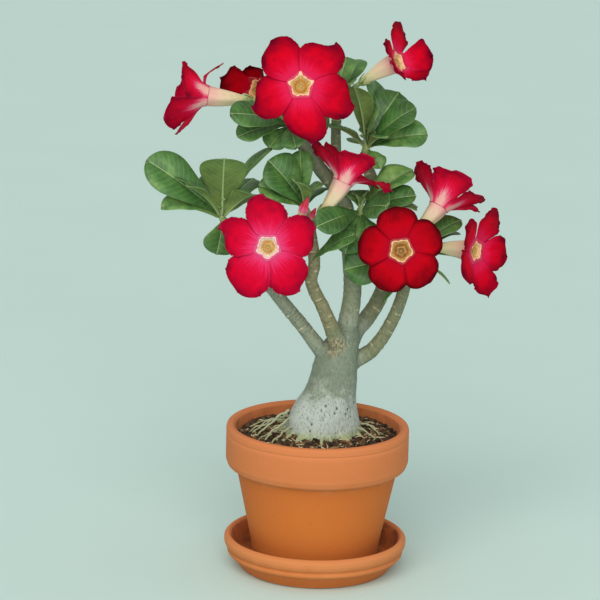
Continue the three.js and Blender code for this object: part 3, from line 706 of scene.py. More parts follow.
# %% Find each point's nearest run of wood
NEAR = 9  # mm beyond a run in which points are looked for
best = np.full(len(points), np.inf)
run_mm, around, kind_root, tint = (np.zeros(len(points)) for _ in range(4))
outward = np.zeros_like(points)
order = np.zeros(len(points), int)
for number, run in enumerate(wood):
    line, radii = run["line"], run["radii"]
    heading, side, other = frames_along(line)
    mm = np.concatenate([[0], np.cumsum(np.linalg.norm(np.diff(line, axis=0), axis=1))])
    low, high = line.min(0) - radii.max() - NEAR, line.max(0) + radii.max() + NEAR
    close = np.flatnonzero(((points > low) & (points < high)).all(1))
    gap = np.linalg.norm(points[close, None] - line[None], axis=2)
    pick = (gap - radii).argmin(1)
    away = gap[np.arange(len(close)), pick] - radii[pick]
    won = away < best[close]
    close, pick, away = close[won], pick[won], away[won]
    best[close] = away
    spoke = points[close] - line[pick]
    around[close] = np.arctan2((spoke * other[pick]).sum(1), (spoke * side[pick]).sum(1))
    outward[close] = spoke / np.linalg.norm(spoke, axis=1)[:, None]
    run_mm[close] = mm[pick]
    tint[close] = run["tint"]
    kind_root[close] = run["kind"] == "root"
    order[close] = number
for _ in range(6):
    tint, kind_root = neighbours_mean(tint), neighbours_mean(kind_root)
on_branch = (order > 0) & (order <= len(BRANCHES))
print("points on branches:", int(on_branch.sum()))

# %% [markdown]
# ## Scars, pits and wrinkles
#
# Every dropped leaf left a pale crescent on its branch. Leaves stand in a spiral, each
# about 137.5 degrees on from the last, so a formula can place their scars. The few deep
# pits of the base are set one by one, as are the ribs of cork at the middle fork. All of it
# moves the skin itself, and the same numbers are stored so that the bark can colour it.

# %% Leaf scars
SCAR_STEP = 2.9  # mm from one scar to the next up a branch
SPIRAL = math.radians(137.5)
scar_number = np.round(run_mm / SCAR_STEP)
scar_turn = scar_number * SPIRAL + order
turned = np.angle(np.exp(1j * (around - scar_turn)))
jitter = np.sin(scar_number * 4.7 + order * 2.1)
lift = run_mm - scar_number * SCAR_STEP + 0.8 * jitter + 1.5 * (turned / 0.9) ** 2
face = np.exp(-((turned / (0.72 + 0.26 * jitter)) ** 4)) * np.exp(-((lift / 0.5) ** 2))
grown = ease((run_mm - 14) / 26) * on_branch
scar = face * grown
ring = np.exp(-(((run_mm - scar_number * SCAR_STEP + 1.3) / 0.55) ** 2))
ring = ring * grown * (0.55 + 0.45 * np.sin(around * 2 + 3 * scar_number))
print("scar points:", int((scar > 0.4).sum()))

# %% Pits
# Each pit: its height, its direction in degrees and its radius.
PITS = [
    (134, 267, 1.1), (132, 291, 1.0), (128.6, 289, 1.0), (134, 336, 1.1), (130.5, 315, 1.0),
    (130.5, 262, 0.8), (127, 312, 1.0), (120, 251, 1.1), (115, 250, 1.0), (124, 325, 0.8),
    (126, 75, 1.1), (135, 120, 0.9), (119, 160, 1.1), (129, 200, 0.9), (141, 10, 0.8),
]
pit = np.zeros(len(points))
for height, deg, size in PITS:
    middle = np.interp(height, rings[:, 0], rings[:, 1])
    reach = np.interp(height, rings[:, 0], rings[:, 3])
    away = np.arctan2(points[:, 1], points[:, 0] - middle) - math.radians(deg)
    away = reach * np.angle(np.exp(1j * away))
    gap = np.hypot(away, 0.8 * (points[:, 2] - height))
    pit = np.maximum(pit, np.exp(-((gap / size) ** 4)))
print("pit points:", int((pit > 0.5).sum()))

# %% Push the relief into the skin
fork = np.linalg.norm((points - [10, -14, 179]) / [11, 10, 9], axis=1)
collar = np.exp(-(fork**2)) * np.clip(1 - kind_root, 0, 1)
trunk_part = np.clip(1 - grown - kind_root, 0, 1)
flutes = ripple(np.stack([around * 9 + order, points[:, 2] * 0.11], -1), 9, 3)
wrinkle = ripple(points * [1, 1, 0.45], 3.4, 8)
level = 0.25 * scar - 0.22 * ring - 0.05 * grown - 0.7 * pit
level += 0.30 * flutes * trunk_part * ease((points[:, 2] - 108) / 14)
level += (0.10 + 0.10 * kind_root) * wrinkle
level += 0.35 * ripple(points, 7.5, 21) * kind_root
level += 0.6 * collar * ripple(points * [1, 1, 1.6], 2.6, 30)
points += outward * level[:, None]
faces = [list(face.vertices) for face in skin.polygons]
wood_mesh = write_mesh(
    "wood", points, faces,
    {"scar": scar, "ring": ring, "pit": pit, "tint": tint * ease((run_mm - 6) / 30) * on_branch,
     "root": kind_root, "collar": collar}, weld=0,
)
print("relief from", round(float(level.min()), 2), "to", round(float(level.max()), 2), "mm")

# %% [markdown]
# ## Adenium bark
#
# The bark is a paper-thin grey skin over green flesh, smooth to the touch, so it shines
# only slightly. It is palest on the swollen base, olive to brown on the branches and
# greenish cream where the roots meet the soil. It carries fine dark flecks that run
# upwards, dark pits, and scars the colour of biscuit. One noise of 9 mm makes the borders
# of the colours waver, and one of about 1 mm, stretched upwards, makes the flecks.

# %% Bark colours from soil to twig
bark, tree, shader, stored = new_finish(
    "adenium bark", ("tint", "root", "ring", "scar", "collar", "pit"), Roughness=0.62, IOR=1.45,
)
place = add_node(tree, "TexCoord").outputs["Object"]
height = add_node(tree, "SeparateXYZ", {0: place}).outputs[2]
cloud = add_node(
    tree, "TexNoise", {"Vector": place, "Scale": per_mm(9), "Detail": 4.0, "Roughness": 0.6}
).outputs[0]
rise = add_node(tree, "MapRange", {0: height, 1: 107 * MM, 2: 175 * MM, 3: -0.15, 4: 0.85}).outputs[0]
rise = add_node(tree, "Math", {0: rise, 1: cloud}, operation="ADD").outputs[0]
trunk_colour = add_node(
    tree, "ValToRGB", {0: rise}, stops=[(0.3, "#aab3ab"), (0.98, "#788370"), (0.66, "#a6b0a2")],
).outputs[0]
waver = add_node(tree, "Math", {0: cloud, 1: 16 * MM, 2: height}, operation="MULTIPLY_ADD").outputs[0]
dusty = add_node(tree, "MapRange", {0: waver, 1: 149.0 * MM, 2: 145.5 * MM, 3: 0.0, 4: 0.5}).outputs[0]
trunk_colour = add_node(
    tree, "Mix", {0: dusty, 6: trunk_colour, 7: "#b9c1be"}, data_type="RGBA"
).outputs[2]
fringe = add_node(tree, "MapRange", {0: waver, 1: 124 * MM, 2: 117 * MM, 3: 0.0, 4: 0.85}).outputs[0]
trunk_colour = add_node(
    tree, "Mix", {0: fringe, 6: trunk_colour, 7: "#9fae7a"}, data_type="RGBA"
).outputs[2]
twig = add_node(
    tree, "ValToRGB", {0: stored["tint"]},
    stops=[(0.2, "#969c8a"), (0.95, "#857e5a"), (0.6, "#787e5e")],
).outputs[0]
on_twig = add_node(tree, "MapRange", {0: stored["tint"], 1: 0.0, 2: 0.3}).outputs[0]
colour = add_node(tree, "Mix", {0: on_twig, 6: trunk_colour, 7: twig}, data_type="RGBA").outputs[2]
print("bark nodes for the ground colour:", len(tree.nodes))

# %% Flecks, scars, cork and pits on the bark
tall = add_node(tree, "Mapping", {"Vector": place, "Scale": (1, 1, 0.4)}).outputs[0]
fleck = add_node(  # the finest real flecks are 0.3 mm, so this is drawn coarser, to show
    tree, "TexNoise", {"Vector": tall, "Scale": per_mm(1.25), "Detail": 4.0, "Roughness": 0.7}
).outputs[0]
dark = add_node(tree, "MapRange", {0: fleck, 1: 0.47, 2: 0.36, 3: 0.0, 4: 0.75}).outputs[0]
colour = add_node(tree, "Mix", {0: dark, 6: colour, 7: "#626a58"}, data_type="RGBA").outputs[2]
pale = add_node(tree, "MapRange", {0: fleck, 1: 0.56, 2: 0.72, 3: 0.0, 4: 0.28}).outputs[0]
colour = add_node(tree, "Mix", {0: pale, 6: colour, 7: "#d6dad4"}, data_type="RGBA").outputs[2]
root = add_node(tree, "MapRange", {0: stored["root"], 1: 0.3, 2: 1.0, 3: 0.0, 4: 0.8}).outputs[0]
colour = add_node(tree, "Mix", {0: root, 6: colour, 7: "#a2a67c"}, data_type="RGBA").outputs[2]
ringed = add_node(tree, "Math", {0: stored["ring"], 1: 0.55}, operation="MULTIPLY").outputs[0]
colour = add_node(tree, "Mix", {0: ringed, 6: colour, 7: "#5e6248"}, data_type="RGBA").outputs[2]
scarred = add_node(tree, "MapRange", {0: stored["scar"], 1: 0.25, 2: 0.7, 3: 0.0, 4: 0.6}).outputs[0]
colour = add_node(tree, "Mix", {0: scarred, 6: colour, 7: "#cdbf9c"}, data_type="RGBA").outputs[2]
corky = add_node(tree, "Math", {0: stored["collar"], 1: cloud}, operation="MULTIPLY").outputs[0]
corky = add_node(tree, "MapRange", {0: corky, 1: 0.12, 2: 0.4, 3: 0.0, 4: 0.75}).outputs[0]
cork = add_node(
    tree, "ValToRGB", {0: fleck}, stops=[(0.38, "#5f5238"), (0.62, "#c2b48e"), (0.5, "#8f8060")]
).outputs[0]
colour = add_node(tree, "Mix", {0: corky, 6: colour, 7: cork}, data_type="RGBA").outputs[2]
pitted = add_node(tree, "MapRange", {0: stored["pit"], 1: 0.3, 2: 0.8, 3: 0.0, 4: 0.85}).outputs[0]
colour = add_node(tree, "Mix", {0: pitted, 6: colour, 7: "#4a4436"}, data_type="RGBA").outputs[2]
bump = add_node(tree, "Bump", {"Strength": 0.7, "Distance": 0.4 * MM, "Height": fleck})
tree.links.new(colour, shader.inputs["Base Color"])
tree.links.new(bump.outputs[0], shader.inputs["Normal"])
place_piece("trunk_and_branches", wood_mesh, bark, "bark", "trunk")

# %% [markdown]
# ## Fine roots on the surface
#
# On the left several thin young roots leave the flank of the trunk, arch over and dive
# into the soil, and two do so on the right. They are too thin for the cubes that the skin
# of the trunk is built from, so each is its own tapered rod with a slight waver.

# %% Arching roots
# Each root: four points from the trunk down into the soil, and its radius.
ARCHES = [
    ([-22, -8, 127], [-31, -12, 121], [-42, -15, 112], [-50, -15, 103], 0.85),
    ([-24, -4, 122], [-33, -8, 119], [-45, -10, 112], [-54, -10, 103], 0.7),
    ([-22, -12, 121], [-29, -20, 117], [-38, -26, 110], [-44, -28, 102], 0.8),
    ([-25, -2, 117], [-36, -2, 116], [-48, -4, 110], [-55, -6, 103], 0.65),
    ([-20, -16, 116], [-27, -26, 113], [-34, -32, 108], [-38, -36, 101], 0.7),
    ([-26, 2, 115], [-38, 6, 114], [-48, 10, 109], [-54, 12, 102], 0.6),
    ([-24, -10, 114], [-34, -17, 112], [-44, -22, 107], [-49, -26, 101], 0.55),
    ([28, -8, 114], [35, -12, 113], [43, -16, 108], [48, -18, 102], 0.6),
    ([30, 0, 115], [38, -2, 114], [46, -4, 109], [52, -8, 102], 0.55),
]
ARCH_STEPS = 40
fine = Skin("root")
for *points_in, radius in ARCHES:
    line = spine(points_in, ARCH_STEPS)
    line += np.stack([ripple(line, 9, k + int(10 * radius)) for k in (1, 2, 3)], 1) * 0.5
    swell = 1 + 0.12 * np.sin(np.arange(ARCH_STEPS) * 1.3)
    radii = radius * spread([1.3, 1, 0.9, 0.7], ARCH_STEPS) * swell
    fine.patch(capped(rod(line, radii, 12)), closed=True, root=1.0)
add_piece("surface_roots", fine, bark, "bark", "trunk")

# %% [markdown]
# ## Adenium leaves
#
# A leaf is a leathery spoon: narrow at its foot, broadest at three quarters, folded a
# little along a pale midrib, with side veins and a rolled edge. Its waxy skin makes it
# dark and glossy above, while below it is paler and dull. A flat card with a picture of a
# leaf would have no rim. Each blade is a curved grid with a top and an underside that
# meet at the edge, so light catches it, and the numbers on the mesh draw the veins:
# distance from the midrib, a count that rises by one from vein to vein, and distance
# from the edge. Clouds of 11 mm vary the green within a blade.

# %% Leaf finish
leaf_green, tree, shader, stored = new_finish(
    "adenium leaf", ("across", "vein", "edge", "tint", "under"), IOR=1.45,
    Specular_IOR_Level=0.5, Subsurface_Weight=0.06, Subsurface_Scale=1.5 * MM,
)
place = add_node(tree, "TexCoord").outputs["Object"]
cloud = add_node(
    tree, "TexNoise", {"Vector": place, "Scale": per_mm(11), "Detail": 3.0, "Roughness": 0.6}
).outputs[0]
tinted = add_node(tree, "Math", {0: stored["tint"], 1: cloud}, operation="ADD").outputs[0]
top = add_node(
    tree, "ValToRGB", {0: tinted}, stops=[(0.24, "#34582a"), (0.9, "#88aa5c"), (0.54, "#4a7638")],
).outputs[0]
below = add_node(
    tree, "ValToRGB", {0: tinted}, stops=[(0.2, "#587038"), (1.0, "#a2b068"), (0.6, "#768c48")],
).outputs[0]
colour = add_node(tree, "Mix", {0: stored["under"], 6: top, 7: below}, data_type="RGBA").outputs[2]
wave = add_node(tree, "Math", {0: stored["vein"], 1: 0.5}, operation="PINGPONG").outputs[0]
vein = add_node(
    tree, "MapRange", {0: wave, 1: 0.0, 2: 0.085, 3: 1.0, 4: 0.0}, interpolation_type="SMOOTHSTEP"
).outputs[0]
inner = add_node(tree, "MapRange", {0: stored["edge"], 1: 0.6, 2: 3.4, 3: 0.0, 4: 0.34}).outputs[0]
vein = add_node(tree, "Math", {0: vein, 1: inner}, operation="MULTIPLY").outputs[0]
colour = add_node(tree, "Mix", {0: vein, 6: colour, 7: "#93b86e"}, data_type="RGBA").outputs[2]
rib = add_node(
    tree, "MapRange", {0: stored["across"], 1: 0.22, 2: 0.62, 3: 0.75, 4: 0.0},
    interpolation_type="SMOOTHSTEP",
).outputs[0]
colour = add_node(tree, "Mix", {0: rib, 6: colour, 7: "#a9bf85"}, data_type="RGBA").outputs[2]
margin = add_node(tree, "MapRange", {0: stored["edge"], 1: 0.15, 2: 0.6, 3: 0.4, 4: 0.0}).outputs[0]
colour = add_node(tree, "Mix", {0: margin, 6: colour, 7: "#9db57c"}, data_type="RGBA").outputs[2]
pores = add_node(  # the real pores are far too small to show, so they are drawn at 1.3 mm
    tree, "TexNoise", {"Vector": place, "Scale": per_mm(1.3), "Detail": 2.0, "Roughness": 0.5}
).outputs[0]
relief = add_node(tree, "Math", {0: pores, 1: 0.35, 2: vein}, operation="MULTIPLY_ADD").outputs[0]
bump = add_node(tree, "Bump", {"Strength": 0.3, "Distance": 0.3 * MM, "Height": relief})
gloss = add_node(tree, "MapRange", {0: stored["under"], 1: 0.0, 2: 1.0, 3: 0.42, 4: 0.65}).outputs[0]
tree.links.new(colour, shader.inputs["Base Color"])
tree.links.new(gloss, shader.inputs["Roughness"])
tree.links.new(bump.outputs[0], shader.inputs["Normal"])
print("leaf finish has", len(tree.nodes), "nodes")

# %% Sheets with two faces
def two_faced(skin, middle, thickness, toward, **values):
    """A sheet with a top and an underside that meet at its border."""
    down, sideways = np.gradient(middle, axis=0), np.gradient(middle, axis=1)
    normal = np.cross(sideways, down)
    length = np.linalg.norm(normal, axis=2)
    normal /= np.maximum(length, 1e-9)[..., None]
    for row in range(1, len(middle)):
        weak = length[row] < 1e-6
        normal[row][weak] = normal[row - 1][weak]
    if (normal.mean((0, 1)) @ toward) < 0:
        normal = -normal
    half = normal * (thickness / 2)[..., None]
    skin.patch(middle + half, under=0.0, **values)
    skin.patch(middle - half, under=1.0, **values)


test = Skin("under")
two_faced(test, lathe(np.array([(5.0, 0.0), (5.0, 9.0)]), 4), np.ones((2, 4)), UP)
print("points on the two faces of a small sheet:", test.count)

# %% One blade
LEAF_SHARES = np.array([-1, -0.97, -0.9, -0.79, -0.65, -0.48, -0.3, -0.15, -0.06, 0,
                        0.06, 0.15, 0.3, 0.48, 0.65, 0.79, 0.9, 0.97, 1])
LEAF_ROWS = np.concatenate([np.linspace(0, 0.9, 22), [0.93, 0.955, 0.975, 0.99, 1]])
VEIN_GAP = 4.6  # mm from one side vein to the next
USUAL_FOLD, USUAL_ARCH = 14, 0.07  # degrees, and a share of the leaf's length
LEAF_SHORT = 1.7  # mm by which the rounded edge ends short of the solid's
leaf_dice = np.random.default_rng(5)


def leaf(skin, heart, up, reach_row):
    """Adds one leaf: reach_row is x, y, z of its tip, width, roll, fold and arch."""
    x, y, z, width, roll, *rest = reach_row
    fold, arch = [*rest, *(USUAL_FOLD, USUAL_ARCH)[len(rest):]]
    reach = np.array([x, y, z], float)
    along = unit(reach)
    length = np.linalg.norm(reach) - LEAF_SHORT
    face = unit(up - along * (up @ along))
    spin = math.radians(-roll if x < 0 else roll)
    face = face * math.cos(spin) + np.cross(along, face) * math.sin(spin)
    across = np.cross(along, face)
    lean, wave, tint, curl = leaf_dice.uniform(-1, 1, 4)
    fold += 7 + 6 * curl
    dent = 1.1 if wave < 0.1 else -2.0  # a blunt point, or a notch in the broad end
    t, side = LEAF_ROWS[:, None], LEAF_SHARES[None]
    outline = t**1.05 * (1 - t**4.4) ** 0.56 / 0.6
    petiole = 1.15 * (1 - ease((t - 0.93) / 0.07))
    half = np.maximum(width / 2 * outline * 1.05, petiole)
    rib = heart + along * mix(2.4, length, t)[..., None]
    rib = rib + face * (arch * length * 4 * t * (1 - t))[..., None]
    rib = rib + across * (lean * 1.6 * t * t)[..., None]
    out = side * half
    size = np.abs(out)
    veins = (t * length - size * 0.35 - 0.022 * size**2) / VEIN_GAP
    puff = 0.22 * np.sin(math.pi * veins) ** 2 * np.sin(math.pi * np.clip(np.abs(side), 0, 1))
    edge_wave = 0.55 * np.abs(side) ** 3 * np.sin(t * 15 + 3 * wave + side * 1.5) * ease(t * 3)
    rise = size * math.tan(math.radians(fold)) * (1 - 0.55 * side**2)
    rise = rise - 0.9 * t**6 * (0.6 + 0.6 * curl) - 0.5 * np.exp(-((size / 0.9) ** 2)) * (1 - t**3)
    rise = rise + puff + edge_wave - (1.5 + 1.1 * lean) * ease((t - 0.62) / 0.38) * side**2
    pointed = dent * t**14 * np.exp(-((side / 0.38) ** 2))
    middle = rib + across * (out * math.cos(math.radians(fold)))[..., None]
    middle = middle + face * rise[..., None] + along * pointed[..., None]
    thick = 0.75 * np.sqrt(np.clip(1 - np.abs(side) ** 7, 0, 1)) * np.sqrt(np.clip(1 - t**30, 0, 1))
    thick = thick + 0.9 * np.exp(-((size / 0.8) ** 2)) * (1 - 0.75 * t)
    thick[:, [0, -1]] = 0
    thick[[0, -1]] = 0
    edge = np.minimum(half - size, (1 - t) * length * 0.8)
    two_faced(skin, middle, thick, face, across=size, vein=veins, edge=edge,
              tint=0.12 * tint + 0.06 * curl)


print("rows and columns of points in a blade:", len(LEAF_ROWS), len(LEAF_SHARES))

# %% [markdown]
# ## Green stems
#
# Each tuft sits on a green shoot at the end of its branch. The flower stalks rise from
# the same heart, and five small pointed sepals clasp the foot of every flower tube.
# These are soft stems with a slightly downy skin, which looks dull beside the leaves, so
# they get one finish of their own that turns from olive wood to fresh green. Its clouds
# are 3 mm, about as wide as the stalk itself.

# %% Green stem finish
green_stem, tree, shader, stored = new_finish("green stem", ("tint",), Roughness=0.55, IOR=1.45)
place = add_node(tree, "TexCoord").outputs["Object"]
cloud = add_node(
    tree, "TexNoise", {"Vector": place, "Scale": per_mm(3), "Detail": 4.0, "Roughness": 0.6}
).outputs[0]
share = add_node(tree, "Math", {0: cloud, 1: stored["tint"]}, operation="ADD").outputs[0]
colour = add_node(
    tree, "ValToRGB", {0: share}, stops=[(0.3, "#6f7a4c"), (0.933, "#c4c28c"), (0.6, "#8fa565")],
).outputs[0]
bump = add_node(tree, "Bump", {"Strength": 0.3, "Distance": 0.2 * MM, "Height": cloud})
tree.links.new(colour, shader.inputs["Base Color"])
tree.links.new(bump.outputs[0], shader.inputs["Normal"])
print("stem finish has", len(tree.nodes), "nodes")

# %% [markdown]
# ## Where the flowers are
#
# Each flower is set out as the solids have it: the mouth and foot of its tube, the way
# it faces, the turn of its first petal, and five petals with their reach, how far they
# cup forward and how strongly their tips bend back. Added to that is what only the looks
# need: how pointed each tip is, sometimes its width, lean and corner, how far neighbours
# overlap, how crisped the edges are, how wide the throat opens, and which of the three
# colourings of this plant the flower wears. One flower copied nine times would be less
# to write, but no two flowers on a plant open alike.

# %% Flowers
BLOOMS = {
    1: dict(mouth=[-92, 0, 367], foot=[-58, 2, 364], facing=[-0.97, -0.04, 0.14], phase=38,
            breadth=0.42, velvet="rose", overlap=1.0, crisp=0.8, throat=7.0,
            petals=[[40, 58, 0.2, 1], [27, 20, 1, 1], [36, 55, 0.1, 4], [40, 36, 0.1, 1],
                    [45, 56, 0.05, 1]]),
    2: dict(mouth=[-52, 26, 368], foot=[-31, 30, 353], facing=[-0.66, -0.66, 0.38], phase=36,
            breadth=0.4, velvet="crimson", overlap=1.0, crisp=0.6, throat=6.8,
            petals=[[23, 68, 0.1, 1], [23, 68, 0.1, 1], [34, 66, 0.1, 4], [23, 68, 0.1, 1],
                    [23, 68, 0.1, 1]]),
    3: dict(mouth=[-19.5, -42, 384], foot=[-20, -10, 362], facing=[0, -0.95, 0.31], phase=57,
            breadth=0.42, velvet="scarlet", overlap=1.12, crisp=0.7, throat=7.2,
            star=[2.7, 1.4, 0.4, 0.7, 2.2],
            petals=[[39, 6, 0.1, 0.6, 1, -3, -4], [40, 6, 0.12, 1, 0.96, -3, -1],
                    [38, 6, 0.12, 0, 1, 2, 3], [42, 6, 0.16, 4, 0.86, 8, 1], [41, 6, 0.12, 2, 0.92, -3, -3]]),
    4: dict(mouth=[53, 10, 394], foot=[27, 18, 377], facing=[0.8, -0.36, 0.44], phase=60,
            breadth=0.42, velvet="scarlet", overlap=1.0, crisp=0.6, throat=6.6,
            petals=[[33, 20, 0.05, 1], [24, 30, 0.4, 1], [23, 44, 0.4, 1], [29, 60, 0.1, 2],
                    [36, 50, 0.15, 3]]),
    5: dict(mouth=[15, -22, 311], foot=[-2, -21, 284], facing=[0.4, 0.22, 0.89], phase=10,
            breadth=0.38, velvet="rose", overlap=1.0, crisp=0.8, throat=7.0,
            petals=[[40, 56, 0.2, 1], [42, 40, 0.2, 1], [42, 62, 0.25, 2], [44, 42, 0.5, 3],
                    [41, 32, 0.3, 1]]),
    6: dict(mouth=[88, 2, 288], foot=[70, -4, 269], facing=[0.5, 0.4, 0.77], phase=-12,
            breadth=0.42, velvet="rose", overlap=1.02, crisp=0.8, throat=7.0,
            petals=[[42, 54, 0.25, 1], [42, 46, 0.2, 1], [44, 58, 0.25, 3], [44, 60, 0.3, 1],
                    [44, 54, 0.3, 1]]),
    7: dict(mouth=[58, -44, 262], foot=[61, -15, 252], facing=[-0.05, -0.96, 0.28], phase=28,
            breadth=0.45, velvet="crimson", overlap=1.1, crisp=0.2, throat=7.6,
            petals=[[33, 6, 0.2, 0], [34, 6, 0.2, 0], [33.5, 6, 0.2, 0], [33.5, 6, 0.2, 0], [33, 6, 0.2, 0]]),
    8: dict(mouth=[115, -10, 255], foot=[83, 3, 254], facing=[0.8, -0.6, 0.04], phase=60,
            breadth=0.42, velvet="scarlet", overlap=1.06, crisp=0.6, throat=6.2,
            petals=[[38, 28, 0.2, 0, 0.95, -2, 2], [35, 30, 0.24, 1, 0.9, 2, -3],
                    [34, 32, 0.24, 1, 0.95, 0, 2], [38, 28, 0.2, 3, 0.82, 3, 0],
                    [37, 28, 0.24, 2, 0.88, -2, -2]]),
    9: dict(mouth=[-41, -48, 263], foot=[-33, -22, 263], facing=[-0.05, -0.97, 0.24], phase=20,
            breadth=0.46, velvet="rose", overlap=1.22, crisp=1.0, throat=7.4,
            petals=[[38, 4, 0.12, 0.3, 0.9, 2, 2], [39, 4, 0.12, 0, 0.86, 3, 2],
                    [37, 4, 0.12, 0.5, 0.84, -1, -4], [41, 4, 0.12, 0, 0.95, 1, 1],
                    [40, 4, 0.12, 0, 0.88, 1, -2]]),
}
print("petals to make:", sum(len(b["petals"]) for b in BLOOMS.values()))

# %% Axes and tubes of the flowers
def bloom_axes(bloom):
    """Out of the flower, up in its face, and to the right of both."""
    out = unit(np.array(bloom["facing"], float))
    up = unit(UP - out * (UP @ out))
    return out, up, np.cross(up, out)


def tube_line(bloom, count=41):
    """The centre of the flower tube from foot to mouth, straight at the mouth."""
    foot, mouth = np.array(bloom["foot"], float), np.array(bloom["mouth"], float)
    out = bloom_axes(bloom)[0]
    knee = mouth - out * 0.45 * np.linalg.norm(mouth - foot)
    t = np.linspace(0, 1, count)[:, None]
    return (1 - t) ** 2 * foot + 2 * t * (1 - t) * knee + t * t * mouth


for number, bloom in BLOOMS.items():
    gap = np.linalg.norm(np.subtract(bloom["mouth"], bloom["foot"]))
    print(f"flower {number}: {gap:.0f} mm from foot to mouth")

# %% [markdown]
# ## Velvet petals
#
# A petal feels like velvet because its skin is covered in domed cells of a few hundredths
# of a millimetre. No pattern could show them, but they soften every highlight, so the
# shader gets a high roughness, little gloss and a breath of sheen. The colour runs from
# rose at the throat to a deep red, and darkens towards the edge, unevenly, in streaks
# that follow the veins from root to tip. That dark border is partly the petal's own colour
# and partly painted shade where velvet turns dark towards its edge. The back of a petal
# starts pale pink where it leaves the tube, and is darker at its tip. Painting each petal
# would take an image, so the colour follows numbers on the mesh instead: how far out and
# how far aside a point lies, and its distance from the edge. Clouds of 12 mm make the dark
# zones patchy, and the same clouds paint patches of shade on the outer petal, standing in
# for the shade of its folds.

# %% Petal finish
def petal_velvet(name, ramp, back, edge, rim, deep, border_mm):
    """ramp and back run from throat to tip; edge is the dark border and rim its very edge.

    deep says how strong the border is, and border_mm how far in it reaches. The border is
    partly the petal's own darker edge and partly painted shade, and edge also colours the
    painted shade of the folds."""
    finish, tree, shader, stored = new_finish(
        name, ("run", "side", "edge", "tint", "under"), Roughness=0.72, IOR=1.4,
        Specular_IOR_Level=0.05, Sheen_Weight=0.01, Sheen_Roughness=0.4, Sheen_Tint=linear("#d01040"),
    )
    run, side, edge_mm = stored["run"], stored["side"], stored["edge"]
    # 7 lanes at a scale of 2.2 give a streak about every millimetre, as the veins stand.
    lanes = add_node(tree, "Math", {0: side, 1: 7.0}, operation="MULTIPLY").outputs[0]
    streaky = add_node(tree, "CombineXYZ", {0: lanes, 1: run, 2: stored["tint"]}).outputs[0]
    streak = add_node(
        tree, "TexNoise", {"Vector": streaky, "Scale": 2.2, "Detail": 4.0, "Roughness": 0.65}
    ).outputs[0]
    push = add_node(tree, "MapRange", {0: streak, 1: 0.25, 2: 0.75, 3: -0.2, 4: 0.2}).outputs[0]
    share = add_node(tree, "Math", {0: run, 1: push}, operation="ADD").outputs[0]
    colour = add_node(tree, "ValToRGB", {0: share}, stops=ramp).outputs[0]
    aside = add_node(tree, "Math", {0: side}, operation="ABSOLUTE").outputs[0]
    aside = add_node(tree, "MapRange", {0: aside, 1: 0.1, 2: 0.9, 3: -0.16, 4: 0.22}).outputs[0]
    outer = add_node(tree, "Math", {0: share, 1: aside}, operation="ADD").outputs[0]
    behind = add_node(tree, "ValToRGB", {0: outer}, stops=back).outputs[0]
    colour = add_node(
        tree, "Mix", {0: stored["under"], 6: colour, 7: behind}, data_type="RGBA"
    ).outputs[2]
    place = add_node(tree, "TexCoord").outputs["Object"]
    cloud = add_node(
        tree, "TexNoise", {"Vector": place, "Scale": per_mm(12), "Detail": 3.0, "Roughness": 0.6}
    ).outputs[0]
    # The dark border: partly the petal's own darker edge, partly painted shade where velvet turns dark
    # towards its edge.
    border = add_node(
        tree, "MapRange", {0: edge_mm, 1: 0.0, 2: border_mm, 3: 1.0, 4: 0.0},
        interpolation_type="SMOOTHSTEP",
    ).outputs[0]
    far = add_node(tree, "MapRange", {0: run, 1: 0.12, 2: 0.65, 3: 0.0, 4: 1.0}).outputs[0]
    border = add_node(tree, "Math", {0: border, 1: far}, operation="MULTIPLY").outputs[0]
    patchy = add_node(
        tree, "MapRange", {0: cloud, 1: 0.35, 2: 0.62, 3: 2 * deep - 1.0, 4: 2 * deep}
    ).outputs[0]
    border = add_node(
        tree, "Math", {0: border, 1: patchy}, operation="MULTIPLY", use_clamp=True
    ).outputs[0]
    colour = add_node(tree, "Mix", {0: border, 6: colour, 7: edge}, data_type="RGBA").outputs[2]
    line = add_node(tree, "MapRange", {0: streak, 1: 0.42, 2: 0.3, 3: 0.0, 4: 0.22}).outputs[0]
    colour = add_node(tree, "Mix", {0: line, 6: colour, 7: edge}, data_type="RGBA").outputs[2]
    # Painted shade: clouds darken the outer petal towards its edge colour, standing in for the shade of its
    # folds.
    painted_fold_shade = add_node(tree, "MapRange", {0: cloud, 1: 0.54, 2: 0.32, 3: 0.0, 4: 0.5}).outputs[0]
    painted_fold_shade = add_node(tree, "Math", {0: painted_fold_shade, 1: far}, operation="MULTIPLY").outputs[0]
    colour = add_node(tree, "Mix", {0: painted_fold_shade, 6: colour, 7: edge}, data_type="RGBA").outputs[2]
    thin = add_node(tree, "MapRange", {0: edge_mm, 1: 0.1, 2: 0.8, 3: 0.6, 4: 0.0}).outputs[0]
    colour = add_node(tree, "Mix", {0: thin, 6: colour, 7: rim}, data_type="RGBA").outputs[2]
    bump = add_node(tree, "Bump", {"Strength": 0.3, "Distance": 0.35 * MM, "Height": streak})
    tree.links.new(colour, shader.inputs["Base Color"])
    tree.links.new(bump.outputs[0], shader.inputs["Normal"])
    return finish


print("materials before the velvets:", len(bpy.data.materials))

